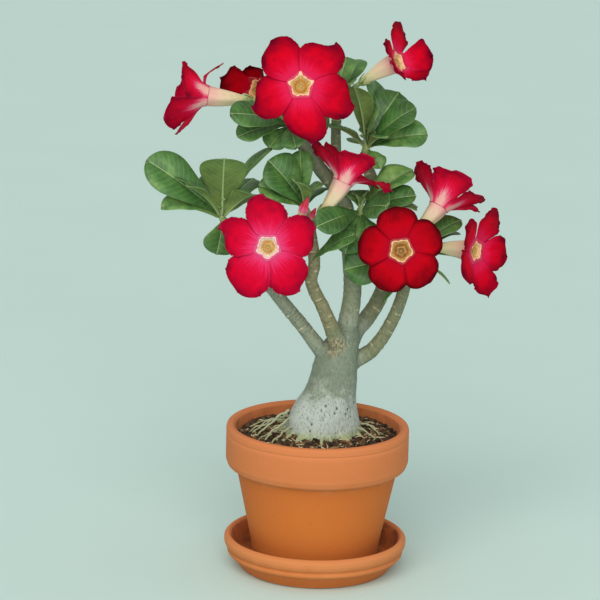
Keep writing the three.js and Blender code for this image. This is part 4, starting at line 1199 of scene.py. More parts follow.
# %% Three colours of velvet
velvets = {
    "scarlet": petal_velvet(
        "scarlet petal velvet",
        [(0.0, "#cc2450"), (1.0, "#ae0018"), (0.14, "#da1a48"), (0.34, "#d2042a"), (0.62, "#ca001e")],
        [(0.0, "#eeb0a8"), (1.0, "#960418"), (0.12, "#e66c86"), (0.26, "#dc1844"), (0.5, "#c80624")],
        "#66001c", "#8a0630", deep=0.66, border_mm=9.0),
    "rose": petal_velvet(
        "rose petal velvet",
        [(0.0, "#d24474"), (1.0, "#ba0028"), (0.12, "#dc2c60"), (0.32, "#d40c3a"), (0.6, "#cc022a")],
        [(0.0, "#eeb0a8"), (1.0, "#ac0624"), (0.12, "#ea6c8a"), (0.26, "#e41c4c"), (0.5, "#d60a2e")],
        "#780426", "#b02850", deep=0.56, border_mm=7.5),
    "crimson": petal_velvet(
        "crimson petal velvet",
        [(0.0, "#a00420"), (1.0, "#7a000c"), (0.14, "#b2021a"), (0.4, "#b60014"), (0.66, "#9c0010")],
        [(0.0, "#d88088"), (1.0, "#5c0414"), (0.14, "#b83050"), (0.28, "#980a2c"), (0.5, "#78061c")],
        "#480009", "#5c0412", deep=0.78, border_mm=4.5),
}
print("velvets:", ", ".join(velvets))

# %% [markdown]
# ## Petals
#
# Each petal starts as a narrow skirt on the wall of the tube, opens like a fan to meet its
# neighbours, and then becomes a blade with its own outline. A subdivided plane could be
# pushed into that shape by hand, but a formula of two numbers keeps all 45 alike in kind:
# `t` runs from root to tip, and `side` from one edge to the other. One edge lies over its
# neighbour and one under, which is how an adenium bud is rolled.

# %% Outline of a petal
PETAL_ROWS = np.concatenate([np.linspace(0, 0.88, 34), [0.905, 0.93, 0.95, 0.967, 0.98, 0.99, 1]])
PETAL_SIDES = np.sin(np.linspace(-1, 1, 23) * math.pi / 2) * 0.75 + np.linspace(-1, 1, 23) * 0.25
PETAL_ROOT = 9.2  # mm from the middle of the flower to where the petals part
PETAL_SHORT = 1.2  # mm by which the rounded edge ends short of the solid's
HALF_SECTOR = 36  # degrees: half of each petal's share of the ring
LAP = 36.8  # degrees: a little more than that, so that the roots of neighbours meet


def half_widths(bloom, number, flat):
    """Half the petal's width at each of its points, with its crisped edge."""
    reach, _, _, _, *rest = bloom["petals"][number]
    wide = rest[0] if rest else 1
    t, side = PETAL_ROWS[:, None], PETAL_SIDES[None]
    outline = mix(0.6, 1, ease(t / 0.5)) * np.sqrt(np.clip(1 - t**5.2, 0, 1))
    full = bloom["breadth"] * reach * 1.03 * wide * outline
    half = np.minimum(full, bloom["overlap"] * flat * math.tan(math.radians(HALF_SECTOR)))
    frill = np.sin(83 * t + 5 * number) + np.sin(57 * t + reach)
    frill = frill + 1.6 * np.sin(27 * t + 9 * np.sign(side) + number)
    return half * (1 + 0.013 * bloom["crisp"] * frill * ease(t * 2 - 0.4) * np.abs(side))


print("points on one face of a petal:", len(PETAL_ROWS) * len(PETAL_SIDES))

# %% Rise of a petal
def rises(bloom, number, length, half):
    """How far each point of a petal stands forward of the mouth of its flower."""
    _, cup, bend, *_ = bloom["petals"][number]
    t, side = PETAL_ROWS[:, None], PETAL_SIDES[None]
    ruffle = 1.1 * side**2 * t * np.sin(9 * t + 2.5 * side + 1.7 * number)
    ruffle = ruffle + 0.5 * bloom["crisp"] * t * np.sin(5.2 * side + 3 * t + 2.1 * number)
    crimp = bloom["crisp"] * np.abs(side) ** 4 * ease(t * 1.6 - 0.3) * (
        1.0 * np.sin(21 * t + 2 * number + 3 * side) + 0.5 * np.sin(47 * t - number)
    )
    channel = 0.5 * (1 - t) * t * 4 * (np.abs(side) - 0.4)
    over = side * (0.16 * half * t + 0.4 * ease(t / 0.12))  # one edge over, one under a neighbour
    arc = length * (t * math.sin(math.radians(cup)) - bend * t**2)
    return arc + over + ruffle + crimp + channel


SKIRT_ROWS = 5
SKIRT_R, SKIRT_DEPTH = 7.85, 3.4  # where the skirt starts, on the outside of the tube


def skirt_grid(cup, height):
    """Rows that curve from the wall of the tube out to the first row of a petal."""
    spoke = PETAL_SIDES[None] * math.radians(LAP)
    bow = np.linspace(0, 1, SKIRT_ROWS + 1)[:-1, None]
    knee = -1.35 * math.tan(min(cup, 1.15))
    r = (1 - bow**2) * SKIRT_R + bow**2 * PETAL_ROOT
    h = (1 - bow) ** 2 * -SKIRT_DEPTH + 2 * bow * (1 - bow) * knee + bow**2 * height
    return np.stack([r * np.cos(spoke), r * np.sin(spoke), h + 0 * spoke], -1)


print("the skirt climbs", SKIRT_DEPTH, "mm in", SKIRT_ROWS, "rows")

# %% One petal
def petal(skin, bloom, number):
    """Adds petal `number` of a bloom, with the skirt that joins it to the tube."""
    out, up, right = bloom_axes(bloom)
    reach, cup, _, point, *rest = bloom["petals"][number]
    _, lean, corner = rest or (1, 0, 0)
    turn = math.radians(bloom["phase"] + 2 * HALF_SECTOR * number)
    outward = right * math.cos(turn) + up * math.sin(turn)
    aside = np.cross(out, outward)
    length, cup = reach - PETAL_SHORT - PETAL_ROOT, math.radians(cup)
    t, side = PETAL_ROWS[:, None], PETAL_SIDES[None]
    flat = PETAL_ROOT + length * t * math.cos(cup)
    half = half_widths(bloom, number, flat)
    lift = rises(bloom, number, length, half)
    pointed = (0.9 * t**4 + point * t**10) * (1 - np.abs(side)) ** 1.3 + corner * side * t**3
    blade = np.stack([flat + pointed, side * half + lean * t**2, lift + 0 * side], -1)
    spoke = side * np.radians(mix(LAP, HALF_SECTOR * max(bloom["overlap"], 1.02), ease(t / 0.15)))
    fan = np.stack([flat * np.cos(spoke), flat * np.sin(spoke), lift], -1)
    grid = mix(fan, blade, ease(t / 0.32)[..., None])
    grid = np.concatenate([skirt_grid(cup, lift[0].mean()), grid])
    mouth = np.array(bloom["mouth"], float)
    middle = mouth + grid[..., :1] * outward + grid[..., 1:2] * aside + grid[..., 2:] * out
    run = np.concatenate([np.zeros(SKIRT_ROWS), PETAL_ROWS])[:, None] + 0 * side
    width = np.concatenate([np.full((SKIRT_ROWS, len(PETAL_SIDES)), half[0, 0]), half])
    edge = np.minimum(width * (1 - np.abs(side)), (1 - run) * length * 0.9)
    thick = 0.6 * np.sqrt(np.clip(1 - np.abs(side) ** 5, 0, 1)) * np.ones((len(grid), 1))
    thick[[0, -1]] = 0
    thick[:, [0, -1]] = 0
    streaks = float((17 * number + int(reach)) % 29)  # each petal has its own streaks
    two_faced(skin, middle, thick, out, run=run, side=side + 0 * run, edge=edge, tint=streaks)


for number, bloom in BLOOMS.items():
    skin = Skin("run", "side", "edge", "tint", "under")
    for k in range(5):
        petal(skin, bloom, k)
    add_piece(f"petals_of_flower_{number}", skin, velvets[bloom["velvet"]], "petal",
              f"bloom_{number}_petals")

# %% [markdown]
# ## Flower tubes, throats and anthers
#
# Behind the petals each flower is a waxy tube, creamy at its foot and flushed pink
# towards the mouth, with five soft ridges. Wax scatters a little light under its skin,
# so the tube glows softly, and it is smoother than the petals. Its blush comes in clouds
# of 3 mm. A narrow lip joins it to them: their red runs over it and stops at a pale rind,
# which on some flowers is drawn out into a star. Inside, the throat is golden with darker
# lines that guide insects down to the anthers, whose five thread-like tips twist
# together. They are mealy with pollen, so they are matt. The tube could be a cut cone,
# but one closed skin, out and back in, leaves no edge to patch.

# %% Tube finish
def waxy_tube(name, root, rind, throat):
    """root is the petals' colour at the lip, rind the pale line, throat runs inwards."""
    finish, tree, shader, stored = new_finish(
        name, ("run", "inner", "lip", "deep", "ray", "rind"), Roughness=0.5, IOR=1.42,
        Subsurface_Weight=0.1, Subsurface_Scale=2 * MM,
    )
    place = add_node(tree, "TexCoord").outputs["Object"]
    cloud = add_node(
        tree, "TexNoise", {"Vector": place, "Scale": per_mm(3), "Detail": 3.0, "Roughness": 0.6}
    ).outputs[0]
    flush = add_node(
        tree, "ValToRGB", {0: stored["run"]},
        stops=[(0.0, "#c8ca8e"), (1.0, "#e49a98"), (0.3, "#e0d2a8"), (0.62, "#e2c4a8"), (0.86, "#e2aaa0")],
    ).outputs[0]
    blush = add_node(tree, "MapRange", {0: cloud, 1: 0.5, 2: 0.8, 3: 0.0, 4: 0.3}).outputs[0]
    flush = add_node(tree, "Mix", {0: blush, 6: flush, 7: "#e0848c"}, data_type="RGBA").outputs[2]
    inside = add_node(tree, "ValToRGB", {0: stored["deep"]}, stops=throat).outputs[0]
    guide = add_node(tree, "MapRange", {0: stored["ray"], 1: 0.4, 2: 1.0, 3: 0.0, 4: 0.28}).outputs[0]
    inside = add_node(tree, "Mix", {0: guide, 6: inside, 7: "#8a4a1e"}, data_type="RGBA").outputs[2]
    colour = add_node(
        tree, "Mix", {0: stored["inner"], 6: flush, 7: inside}, data_type="RGBA"
    ).outputs[2]
    uneven = add_node(tree, "MapRange", {0: cloud, 1: 0.3, 2: 0.7, 3: -0.35, 4: 0.35}).outputs[0]
    reach = add_node(tree, "Math", {0: stored["rind"], 1: uneven}, operation="ADD").outputs[0]
    pale = add_node(tree, "MapRange", {0: reach, 1: -0.15, 2: 0.15, 3: 0.0, 4: 1.0}).outputs[0]
    lip = add_node(tree, "Mix", {0: pale, 6: root, 7: rind}, data_type="RGBA").outputs[2]
    colour = add_node(tree, "Mix", {0: stored["lip"], 6: colour, 7: lip}, data_type="RGBA").outputs[2]
    bump = add_node(tree, "Bump", {"Strength": 0.2, "Distance": 0.2 * MM, "Height": cloud})
    tree.links.new(colour, shader.inputs["Base Color"])
    tree.links.new(bump.outputs[0], shader.inputs["Normal"])
    return finish


print("materials before the tubes:", len(bpy.data.materials))

# %% Three colours of tube
tube_wax = {
    "scarlet": waxy_tube("waxy tube of a scarlet flower", "#cc2450", "#ecbc92",
                         [(0.0, "#f4d49c"), (1.0, "#ecb866"), (0.3, "#f0c87e"), (0.65, "#f0c274")]),
    "rose": waxy_tube("waxy tube of a rose flower", "#d24474", "#ecc0bc",
                      [(0.0, "#f8e6da"), (1.0, "#e8c084"), (0.3, "#f4dcc0"), (0.65, "#ecca96")]),
    "crimson": waxy_tube("waxy tube of a crimson flower", "#a00420", "#e4b680",
                         [(0.0, "#d8ac70"), (1.0, "#a87440"), (0.3, "#c89a5c"), (0.65, "#b8864a")]),
}
print("tubes:", ", ".join(tube_wax))

# %% Anther finish
pollen_gold, tree, shader, stored = new_finish("golden anther", ("tint",), Roughness=0.7, IOR=1.45)
place = add_node(tree, "TexCoord").outputs["Object"]
# A grain of pollen is under 0.1 mm, too fine to show, so the mealy pattern is drawn at 0.8 mm.
cloud = add_node(tree, "TexNoise", {"Vector": place, "Scale": per_mm(0.8), "Detail": 3.0}).outputs[0]
colour = add_node(
    tree, "ValToRGB", {0: cloud}, stops=[(0.3, "#c89648"), (0.75, "#f4dc9c"), (0.5, "#dcb468")],
).outputs[0]
colour = add_node(
    tree, "Mix", {0: stored["tint"], 6: colour, 7: "#8a5c30"}, data_type="RGBA"
).outputs[2]
bump = add_node(tree, "Bump", {"Strength": 0.4, "Distance": 0.15 * MM, "Height": cloud})
tree.links.new(colour, shader.inputs["Base Color"])
tree.links.new(bump.outputs[0], shader.inputs["Normal"])
print("anther finish has", len(tree.nodes), "nodes")

# %% Round the tube
# The tube's radius in mm at shares of its length.
TUBE_SHAPE = spine(
    [(0, 2.6), (0.12, 3.3), (0.32, 4.9), (0.52, 6.1), (0.74, 7.1), (0.9, 7.6), (1, 7.75)], 50
)
TURN = np.linspace(0, 2 * math.pi, 150, endpoint=False)
THROAT_FLOOR = 0.78  # where the throat ends, as a share of the tube


def tube_spokes(bloom, line):
    """The directions round the tube at each point of its line, in step with the petals."""
    _, across, other = frames_along(line[::-1], bloom_axes(bloom)[2])
    across, other = across[::-1, None], -other[::-1, None]
    return across * np.cos(TURN)[:, None] + other * np.sin(TURN)[:, None]


def five_fold(bloom):
    """1 between two petals and -1 at the middle of each petal."""
    return np.cos(5 * (TURN - math.radians(bloom["phase"] + HALF_SECTOR)))


print("steps round a tube:", len(TURN))

# %% Lip and star
def star_points(bloom):
    """How far the pale rind reaches out, in mm, with the points of its star."""
    reach = 0.5 + 0.2 * np.sin(7 * TURN + bloom["phase"]) + 0.15 * np.sin(13 * TURN)
    for k, length in enumerate(bloom.get("star", [0.3] * 5)):
        away = TURN - math.radians(bloom["phase"] + HALF_SECTOR * (1 + 2 * k))
        reach = reach + length * np.exp(-((np.angle(np.exp(1j * away)) / 0.13) ** 2))
    return reach


def lip_rings(bloom):
    """Rings from the star's outer edge over the lip into the mouth: radius, height, rind."""
    fold = five_fold(bloom)
    slopes = [math.tan(math.radians(row[1])) for row in bloom["petals"]]
    sector = (TURN - math.radians(bloom["phase"])) / math.radians(2 * HALF_SECTOR)
    sector = np.floor(sector).astype(int) % 5
    steep = np.array([max(slopes[k], slopes[(k + 1) % 5]) for k in range(5)])[sector]
    edge_r = PETAL_ROOT + 1.6 * (0.5 + 0.5 * fold) ** 1.6
    edge_h = 0.6 + (edge_r - PETAL_ROOT) * steep
    mouth_r = bloom["throat"] + 0.1 * (bloom["throat"] - 1) * fold + 0.12 * np.sin(9 * TURN)
    rows = [(edge_r - 0.35, edge_h - 0.55), (edge_r, edge_h - 0.12)]
    for share in np.linspace(0, 1, 7):
        rows.append((mix(edge_r - 0.25, mouth_r, share), mix(edge_h, 0.8, share)))
    rows += [(mouth_r - 0.3, 0.6 + 0 * TURN), (mouth_r - 0.5, 0.1 + 0 * TURN)]
    r, h = np.array(rows).transpose(1, 0, 2)
    return r, h, mouth_r + star_points(bloom) - r


print("rings of a lip:", len(lip_rings(BLOOMS[3])[0]))

# %% The whole tube
def tube_skin(bloom):
    """The whole tube: up its outside, over the lip and down the throat."""
    out, up, right = bloom_axes(bloom)
    line = tube_line(bloom, 33)
    spokes, fold = tube_spokes(bloom, line), five_fold(bloom)
    share = np.linspace(0, 1, len(line))
    wall = np.interp(share, TUBE_SHAPE[:, 0], TUBE_SHAPE[:, 1])[:, None]
    wall = wall * (1 + 0.05 * fold * np.sin(math.pi * share)[:, None])
    outside = line[:, None] + spokes * wall[..., None]
    r, h, rind = lip_rings(bloom)
    around = right * np.cos(TURN)[:, None] + up * np.sin(TURN)[:, None]
    lip = np.array(bloom["mouth"], float) + out * h[..., None] + around * r[..., None]
    down = np.arange(len(line) - 2, int(THROAT_FLOOR * len(line)) - 1, -1)
    narrow = np.linspace(0, 1, len(down))[:, None] ** 0.8
    throat = line[down][:, None] + spokes[down] * mix(r[-1] - 0.15, 4.0, narrow)[..., None]
    sizes = len(outside), len(lip), len(throat)
    zone = np.repeat([0, 1, 2], sizes)
    deep = np.concatenate([np.zeros(sizes[0] + sizes[1]), np.linspace(0, 1, sizes[2])])
    lanes = np.clip(np.cos(15 * (TURN - math.radians(bloom["phase"]))), 0, 1)
    values = {
        "run": np.concatenate([share, np.ones(sizes[1] + sizes[2])])[:, None] + 0 * lanes,
        "inner": (zone == 2)[:, None] + 0.0 * lanes,
        "lip": (zone == 1)[:, None] + 0.0 * lanes,
        "deep": deep[:, None] + 0 * lanes,
        "ray": (zone == 2)[:, None] * lanes,
        "rind": np.pad(rind, ((sizes[0], sizes[2]), (0, 0))),
    }
    skin = Skin(*values)
    ends = {name: np.concatenate([rows[:1], rows, rows[-1:]]) for name, rows in values.items()}
    skin.patch(capped(np.concatenate([outside, lip, throat])), closed=True, **ends)
    return skin


for number, bloom in BLOOMS.items():
    add_piece(f"tube_of_flower_{number}", tube_skin(bloom), tube_wax[bloom["velvet"]],
              "flower_tube", f"bloom_{number}_tube")

# %% Anthers
CONE = slice(31, 38)  # the steps of the tube's line that the cone stands on
THREAD_STEPS = 24
THREAD_DARK = {"scarlet": 0.3, "rose": 0.3, "crimson": 0.85}


def anther_cone(bloom, number):
    """The cone of anthers in the throat and the five threads that leave its tip."""
    out, up, right = bloom_axes(bloom)
    line = tube_line(bloom)
    cone, tip = line[CONE], line[CONE.stop - 2]
    skin = Skin("tint")
    rings = rod(cone, spread([4.2, 3.4, 2.0, 0.5], len(cone)), 15, lambda a: 1 + 0.14 * np.cos(5 * a))
    skin.patch(capped(rings), closed=True, tint=0.1)
    for k in range(5):
        angles = np.radians(72 * k + np.array([0, 60, 140, 200]))
        radii = [0.5, 1.6, 2.5, 3.4 + 0.8 * math.sin(k + number)]
        ahead = [0, 1.2, 2.2, 2.8 + 0.9 * math.sin(2 * k + number)]
        points = [
            tip + out * a + (right * math.cos(g) + up * math.sin(g)) * r - UP * 0.03 * a**2
            for a, g, r in zip(ahead, angles, radii)
        ]
        thread = rod(spine(points, THREAD_STEPS), spread([0.5, 0.44, 0.38, 0.24], THREAD_STEPS), 7)
        skin.patch(capped(thread), closed=True, tint=THREAD_DARK[bloom["velvet"]])
    return skin


for number, bloom in BLOOMS.items():
    add_piece(f"anthers_of_flower_{number}", anther_cone(bloom, number), pollen_gold,
              "flower_tube", f"bloom_{number}_tube")

# %% [markdown]
# ## Tufts
#
# An adenium carries its leaves in a tuft at the end of each branch, packed in a spiral
# round the growing tip. A spiral formula alone would match no view of this plant. So
# every tuft has a heart, a list of the leaves that the front view shows, each placed one
# by one, a plain fan behind, and four small young leaves at its tip. The stalks of the
# flowers that spring from the tuft belong to it too.

# %% Where the leaves are
# Each leaf: its tip from the heart, its width and its roll, then its fold if not usual.
# Behind: the fan's first and last direction, its count, rise, length and width.
TUFTS = {
    "left": dict(heart=[-76, -12, 276], branch="left", behind=(60, 190, 4, 28, 50, 26), leaves=[
        [-58, -14, 46, 33, 62], [0, -26, 52, 35, 0], [-28, -24, 31, 20, 10, 30],
        [-46, -22, 13, 28, 20, 26], [-4, -14, -26, 26, 40], [37, 6, 55, 26, 0, 20],
        [25, -16, 24, 24, -30]]),
    "mid": dict(heart=[-14, -16, 286], branch="mid", behind=(80, 170, 2, 10, 42, 24),
                blooms=[5, 9], buds=[1, 2], leaves=[
        [-29, -8, 38, 35, 62], [-9, -26, 28, 22, 30, 24], [-6, 8, 44, 20, 40],
        [-36, -10, 20, 28, 45], [11, 2, 22, 20, 0]]),
    "top": dict(heart=[-27, 4, 345], branch="main", behind=(88, 118, 2, -12, 46, 26),
                blooms=[1, 2, 3], leaves=[
        [-40, -24, -5, 22, 25], [-44, -36, 14, 24, 45], [-10, 22, -4, 22, 0],
        [6, -34, -9, 22, 20], [-14, -20, -14, 20, 20]]),
    "back": dict(heart=[9, 27, 358], branch="back", behind=(70, 150, 3, 35, 50, 27),
                 blooms=[4], leaves=[
        [7, 8, 36, 26, 0], [-14, 8, -30, 22, 0], [10, -16, 20, 20, 20]]),
    "high": dict(heart=[31, 20, 326], branch="high", behind=(15, 90, 3, 8, 48, 27), leaves=[
        [4, 20, 51, 40, 75], [8, -12, 36, 25, 70], [24, 14, 42, 32, 40], [38, -6, 33, 30, 35],
        [-12, -20, 52, 22, 0], [47, -10, 14, 28, 40, 20], [15, -18, 14, 16, 0],
        [-28, -16, 20, 24, 0], [12, -14, -13, 15, 20]]),
    "heart": dict(heart=[28, -3, 282], branch="heart", behind=(0, 28, 2, 6, 44, 24), leaves=[
        [39, 14, 31, 33, 15], [42, -8, 14, 26, 30], [20, -30, 12, 26, 50], [-6, 14, 14, 22, 0],
        [-34, -41.5, -3, 22, 50], [-10, -18, -30, 22, 20], [8, -18, -22, 20, 10]]),
    "right": dict(heart=[66, -2, 248], branch="right", behind=(40, 82, 3, 15, 50, 27),
                  blooms=[6, 7, 8], leaves=[
        [40, 14, 26, 24, 20], [42, 20, -6, 26, 0], [33, 8, -24, 10, 0], [-50, -14, -10, 32, 60]]),
}
# Each bud: its foot, its tip and its radius.
BUDS = {1: ([-18, -33, 280], [-12, -36, 299], 3.6), 2: ([-11, -25, 277], [-6, -27, 289], 2.4)}
SINGLE_LEAVES = {
    "leaf_front": ([-9, -25.2, 247], [34, -6, 24, 20, 30]),
    "leaf_low": ([45.8, 18.6, 204], [22, 2, 24, 10, 30]),
}
print("leaves placed by hand:", sum(len(tuft["leaves"]) for tuft in TUFTS.values()) + len(SINGLE_LEAVES))

# %% Leaves at the back
def back_fan(start, end, count, rise, length, width):
    """Plain leaves on the side of a tuft that faces away from the front."""
    rows = []
    for k in range(count):
        turn = math.radians(mix(start, end, k / (count - 1) if count > 1 else 0.5))
        tilt = math.radians(rise + 16 * math.sin(2.4 * k))
        reach = length * (1 + 0.1 * math.sin(5 * k))
        away = reach * math.cos(tilt)
        rows.append([away * math.cos(turn), away * math.sin(turn), reach * math.sin(tilt), width, 0])
    return rows


print("leaves at the back:", sum(len(back_fan(*tuft["behind"])) for tuft in TUFTS.values()))

# %% Stalks and sepals
STALK_STEPS = 28


def stalk(skin, heart, foot, along, size=1.0):
    """A flower stalk with the five sepals that clasp the flower's foot."""
    heart, foot = np.array(heart, float), np.array(foot, float)
    root = foot - along * 3.4 * size
    bend = root - along * min(6, 0.3 * np.linalg.norm(root - heart))
    line = spine([heart, bend, root, foot + along * 0.6], STALK_STEPS)
    radii = size * spread([1.8, 1.6, 1.5, 1.6, 2.1], STALK_STEPS)
    skin.patch(capped(rod(line, radii, 14)), closed=True, tint=0.1)
    a = unit(np.cross(along, [0.3, 0.5, 0.8]))
    b = np.cross(along, a)
    t, side = np.linspace(0, 1, 12)[:, None], np.linspace(-1, 1, 7)[None]
    for k in range(5):
        turn = math.radians(72 * k + 20)
        away = a * math.cos(turn) + b * math.sin(turn)
        aside = np.cross(along, away)
        half = 1.9 * size * np.sqrt(np.clip(1 - t**1.7, 0, 1)) * (0.8 + 0.4 * t)
        rise = -2.2 + 7.4 * t
        r = 2.4 + 2.1 * np.sin(1.7 * t)
        middle = foot + along * (rise * size + 0 * side)[..., None]
        middle = middle + away * ((r * size) - 0.12 * (side * half) ** 2)[..., None]
        middle = middle + aside * (side * half)[..., None]
        thick = 0.6 * size * np.sqrt(1 - side**6) * (1 - t**8)
        thick[:, [0, -1]] = 0
        two_faced(skin, middle, thick, away, tint=0.05 + 0.25 * t)


print("flowers and buds with a stalk:", len(BLOOMS) + len(BUDS))

# %% Green shoots
SHOOT_STEPS = 30


def shoot_of(branch, heart):
    """A shoot from the bare end of a branch, through the tuft's heart, to its tip."""
    points, radii, _ = BRANCHES[branch]
    line = spine(points, BRANCH_STEPS)
    end, heading = line[-1], unit(line[-1] - line[-2])
    path = [end - heading * 1.5, end + heading * 2, heart, heart + unit(heart - end) * 5]
    bumps = 1 + 0.07 * np.sin(np.arange(SHOOT_STEPS) * 1.9)
    radii = spread([radii[-1] + 0.1, radii[-1] - 0.2, 3.8, 3.4, 2.6, 1.2], SHOOT_STEPS) * bumps
    shoot = Skin("tint", "under")
    fresh = spread([-0.15, 0.0, 0.1], SHOOT_STEPS + 2)[:, None]
    shoot.patch(capped(rod(spine(path, SHOOT_STEPS), radii, 18)), closed=True, tint=fresh)
    return shoot


print("points in the left shoot:", shoot_of("left", np.array(TUFTS["left"]["heart"], float)).count)

# %% Tufts
YOUNG_LEAVES = 4
LEAF_NUMBERS = ("across", "vein", "edge", "tint", "under")
for name, tuft in TUFTS.items():
    heart = np.array(tuft["heart"], float)
    blades = Skin(*LEAF_NUMBERS)
    for row in [*tuft["leaves"], *back_fan(*tuft["behind"])]:
        leaf(blades, heart, UP, row)
    for k in range(YOUNG_LEAVES):
        turn = 2.4 * k + len(name)
        leaf(blades, heart, UP, [6 * math.cos(turn), 6 * math.sin(turn), 12 + 2 * k, 7, 0, 25, 0.1])
    node = "leaves_" + name
    add_piece("blades_of_" + node, blades, leaf_green, "leaf", node)
    shoot = shoot_of(tuft["branch"], heart)
    for number in tuft.get("blooms", []):
        path = tube_line(BLOOMS[number])
        stalk(shoot, heart, path[0], unit(path[1] - path[0]))
    for number in tuft.get("buds", []):
        foot, tip, _ = BUDS[number]
        stalk(shoot, heart, foot, unit(np.array(tip, float) - foot), 0.8)
    add_piece("shoot_of_" + node, shoot, green_stem, "leaf", node)

# %% Two single leaves
for node, (foot, row) in SINGLE_LEAVES.items():
    blades = Skin(*LEAF_NUMBERS)
    leaf(blades, np.array(foot, float), UP, row)
    add_piece("blade_of_" + node, blades, leaf_green, "leaf", node)

# %% [markdown]
# ## Buds
#
# A bud is a spindle in which the five petals are still furled round each other like an
# umbrella, so the ridges climb it in a spiral. Its skin is firmer than an open petal, so
# it shines a little more, with a breath of down. A rod with a turning flute gives the
# form, and the flute is stored too, so that painted shade darkens the creases between the petals.

# %% Bud finish
bud_red, tree, shader, stored = new_finish(
    "furled bud", ("run", "side"), Roughness=0.5, IOR=1.42, Sheen_Weight=0.15,
)
ramp = add_node(
    tree, "ValToRGB", {0: stored["run"]},
    stops=[(0.0, "#c8cf92"), (1.0, "#a8102f"), (0.3, "#e2cf9c"), (0.44, "#e0688c"), (0.66, "#cf1c42")],
).outputs[0]
# Painted shade: the creases between the furled petals are darkened.
crease_shade = add_node(tree, "MapRange", {0: stored["side"], 1: -0.5, 2: -0.95, 3: 0.0, 4: 0.4}).outputs[0]
colour = add_node(tree, "Mix", {0: crease_shade, 6: ramp, 7: "#7a0a20"}, data_type="RGBA").outputs[2]
place = add_node(tree, "TexCoord").outputs["Object"]
# The real down is far too fine to show, so the skin's unevenness is drawn at 1.6 mm.
cloud = add_node(tree, "TexNoise", {"Vector": place, "Scale": per_mm(1.6), "Detail": 3.0}).outputs[0]
bump = add_node(tree, "Bump", {"Strength": 0.25, "Distance": 0.2 * MM, "Height": cloud})
tree.links.new(colour, shader.inputs["Base Color"])
tree.links.new(bump.outputs[0], shader.inputs["Normal"])
print("bud finish has", len(tree.nodes), "nodes")

# %% Furled buds
BUD_STEPS, BUD_SIDES = 40, 50
for number, (foot, tip, radius) in BUDS.items():
    foot, tip = np.array(foot, float), np.array(tip, float)
    t = np.linspace(0, 1, BUD_STEPS)
    line = foot + (tip - foot) * t[:, None]
    turn = np.linspace(0, 2 * math.pi, BUD_SIDES, endpoint=False)
    flute = np.cos(5 * turn[None] + 5.5 * t[:, None])
    size = radius * np.interp(t, [0, 0.25, 0.5, 0.75, 0.95, 1], [0.42, 0.85, 1, 0.66, 0.26, 0.1])
    grid = rod(line, size, BUD_SIDES)
    spokes = grid - line[:, None]
    grid = capped(line[:, None] + spokes * (1 + 0.1 * flute)[..., None])
    skin = Skin("run", "side")
    run = np.concatenate([[0], t, [1]])[:, None]
    skin.patch(grid, closed=True, run=run, side=np.concatenate([flute[:1], flute, flute[-1:]]))
    add_piece(f"furled_bud_{number}", skin, bud_red, "petal", f"bud_{number}")

# %% [markdown]
# ## Floor, light and camera
#
# A large matt floor, pale blue-green, and an even sky stand for the studio. The light is
# soft: a wide sun high in front and to the left, and a large lamp low in front that
# opens the shadows under the flowers. Neither belongs to the part, so the floor is given
# to the stage. The camera looks down 14.3 degrees from about two and a half metres away,
# and it is rolled by 1.4 degrees.

# %% Floor and sky
floor_paint, tree, shader, _ = new_finish("matt floor paint", Roughness=0.9, IOR=1.45)
place = add_node(tree, "TexCoord").outputs["Object"]
# Six faint clouds to the metre, as wide as the strokes of a paint roller.
cloud = add_node(tree, "TexNoise", {"Vector": place, "Scale": 6.0, "Detail": 2.0}).outputs[0]
colour = add_node(tree, "ValToRGB", {0: cloud}, stops=[(0.3, "#cee7e2"), (0.7, "#d0e9e4")]).outputs[0]
tree.links.new(colour, shader.inputs["Base Color"])
FLOOR_HALF = 6.0  # metres
FLOOR_DROP = 0.3 * MM  # just under the saucer, so that the two faces don't flicker
corners = [(x * FLOOR_HALF, y * FLOOR_HALF, -FLOOR_DROP) for x, y in ((-1, -1), (1, -1), (1, 1), (-1, 1))]
floor_mesh = bpy.data.meshes.new("floor")
floor_mesh.from_pydata(corners, [], [(0, 1, 2, 3)])
floor_mesh.materials.append(floor_paint)
floor = bpy.data.objects.new("floor", floor_mesh)
bpy.context.scene.collection.objects.link(floor)
floor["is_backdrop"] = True

sky = bpy.data.worlds.new("studio")
sky.use_nodes = True
sky.node_tree.nodes["Background"].inputs[0].default_value = linear("#dfe6e3")
sky.node_tree.nodes["Background"].inputs[1].default_value = 0.62
bpy.context.scene.world = sky
print("floor width:", 2 * FLOOR_HALF, "m")

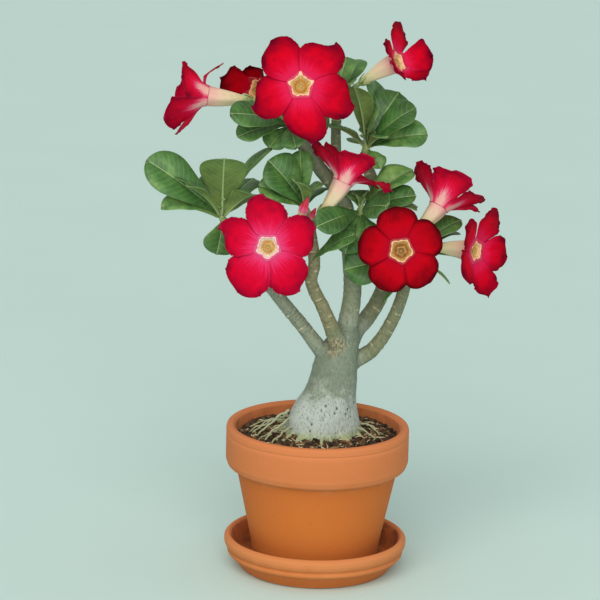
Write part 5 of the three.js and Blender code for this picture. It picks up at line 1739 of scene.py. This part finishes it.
# %% Lights
def looking(place, across, up, back):
    """The matrix of a lamp or camera at a place, from the directions of its own axes."""
    return Matrix([[across[k], up[k], back[k], place[k]] for k in range(3)] + [[0, 0, 0, 1]])


PLANT_MIDDLE = np.array([0, 0, 0.2])  # metres


def add_light(name, kind, energy, place, code, **settings):
    """A lamp that points at the middle of the plant."""
    data = bpy.data.lights.new(name, kind)
    data.energy, data.color = energy, linear(code)[:3]
    for key, value in settings.items():
        setattr(data, key, value)
    lamp = bpy.data.objects.new(name, data)
    back = unit(np.array(place) - PLANT_MIDDLE)
    across = unit(np.cross(UP, back))
    lamp.matrix_world = looking(place, across, np.cross(back, across), back)
    bpy.context.scene.collection.objects.link(lamp)
    print("light", name, "stands at", place)


add_light("key", "SUN", 1.6, (-0.5, -2.1, 1.9), "#fffaf2", angle=math.radians(50))
add_light("soft_front", "AREA", 14.0, (0.5, -2.2, 0.7), "#ffffff", size=1.4)

# %% Camera
pitch, roll = math.radians(14.33), math.radians(1.44)
level = np.array([1.0, 0, 0])
upward = np.array([0, math.sin(pitch), math.cos(pitch)])
ahead = np.array([0, math.cos(pitch), -math.sin(pitch)])
camera_data = bpy.data.cameras.new("camera")
camera_data.lens, camera_data.sensor_width = 202.72, 36
camera_data.clip_start, camera_data.clip_end = 0.1, 60
camera = bpy.data.objects.new("camera", camera_data)
camera.matrix_world = looking(
    (-0.016075, -2.482901, 0.845259),
    level * math.cos(roll) + upward * math.sin(roll),
    -level * math.sin(roll) + upward * math.cos(roll), -ahead,
)
bpy.context.scene.collection.objects.link(camera)
bpy.context.scene.camera = camera
bpy.context.scene.view_settings.view_transform = "Standard"
print("camera lens:", round(camera_data.lens, 2), "mm")

# %% [markdown]
# ## Last measure
#
# The looks must not make the object bigger than its solids. Blender could show the
# dimensions in its side panel, but here both boxes are written out side by side, so that
# they can be compared.

# %% Size and finish
seen_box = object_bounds()
boxes = {"cad": [list(corner) for corner in cad_box], "visual": [list(corner) for corner in seen_box]}
for name, (low, high) in boxes.items():
    print(name, "box in mm:", [round(v / MM, 1) for v in low], [round(v / MM, 1) for v in high])
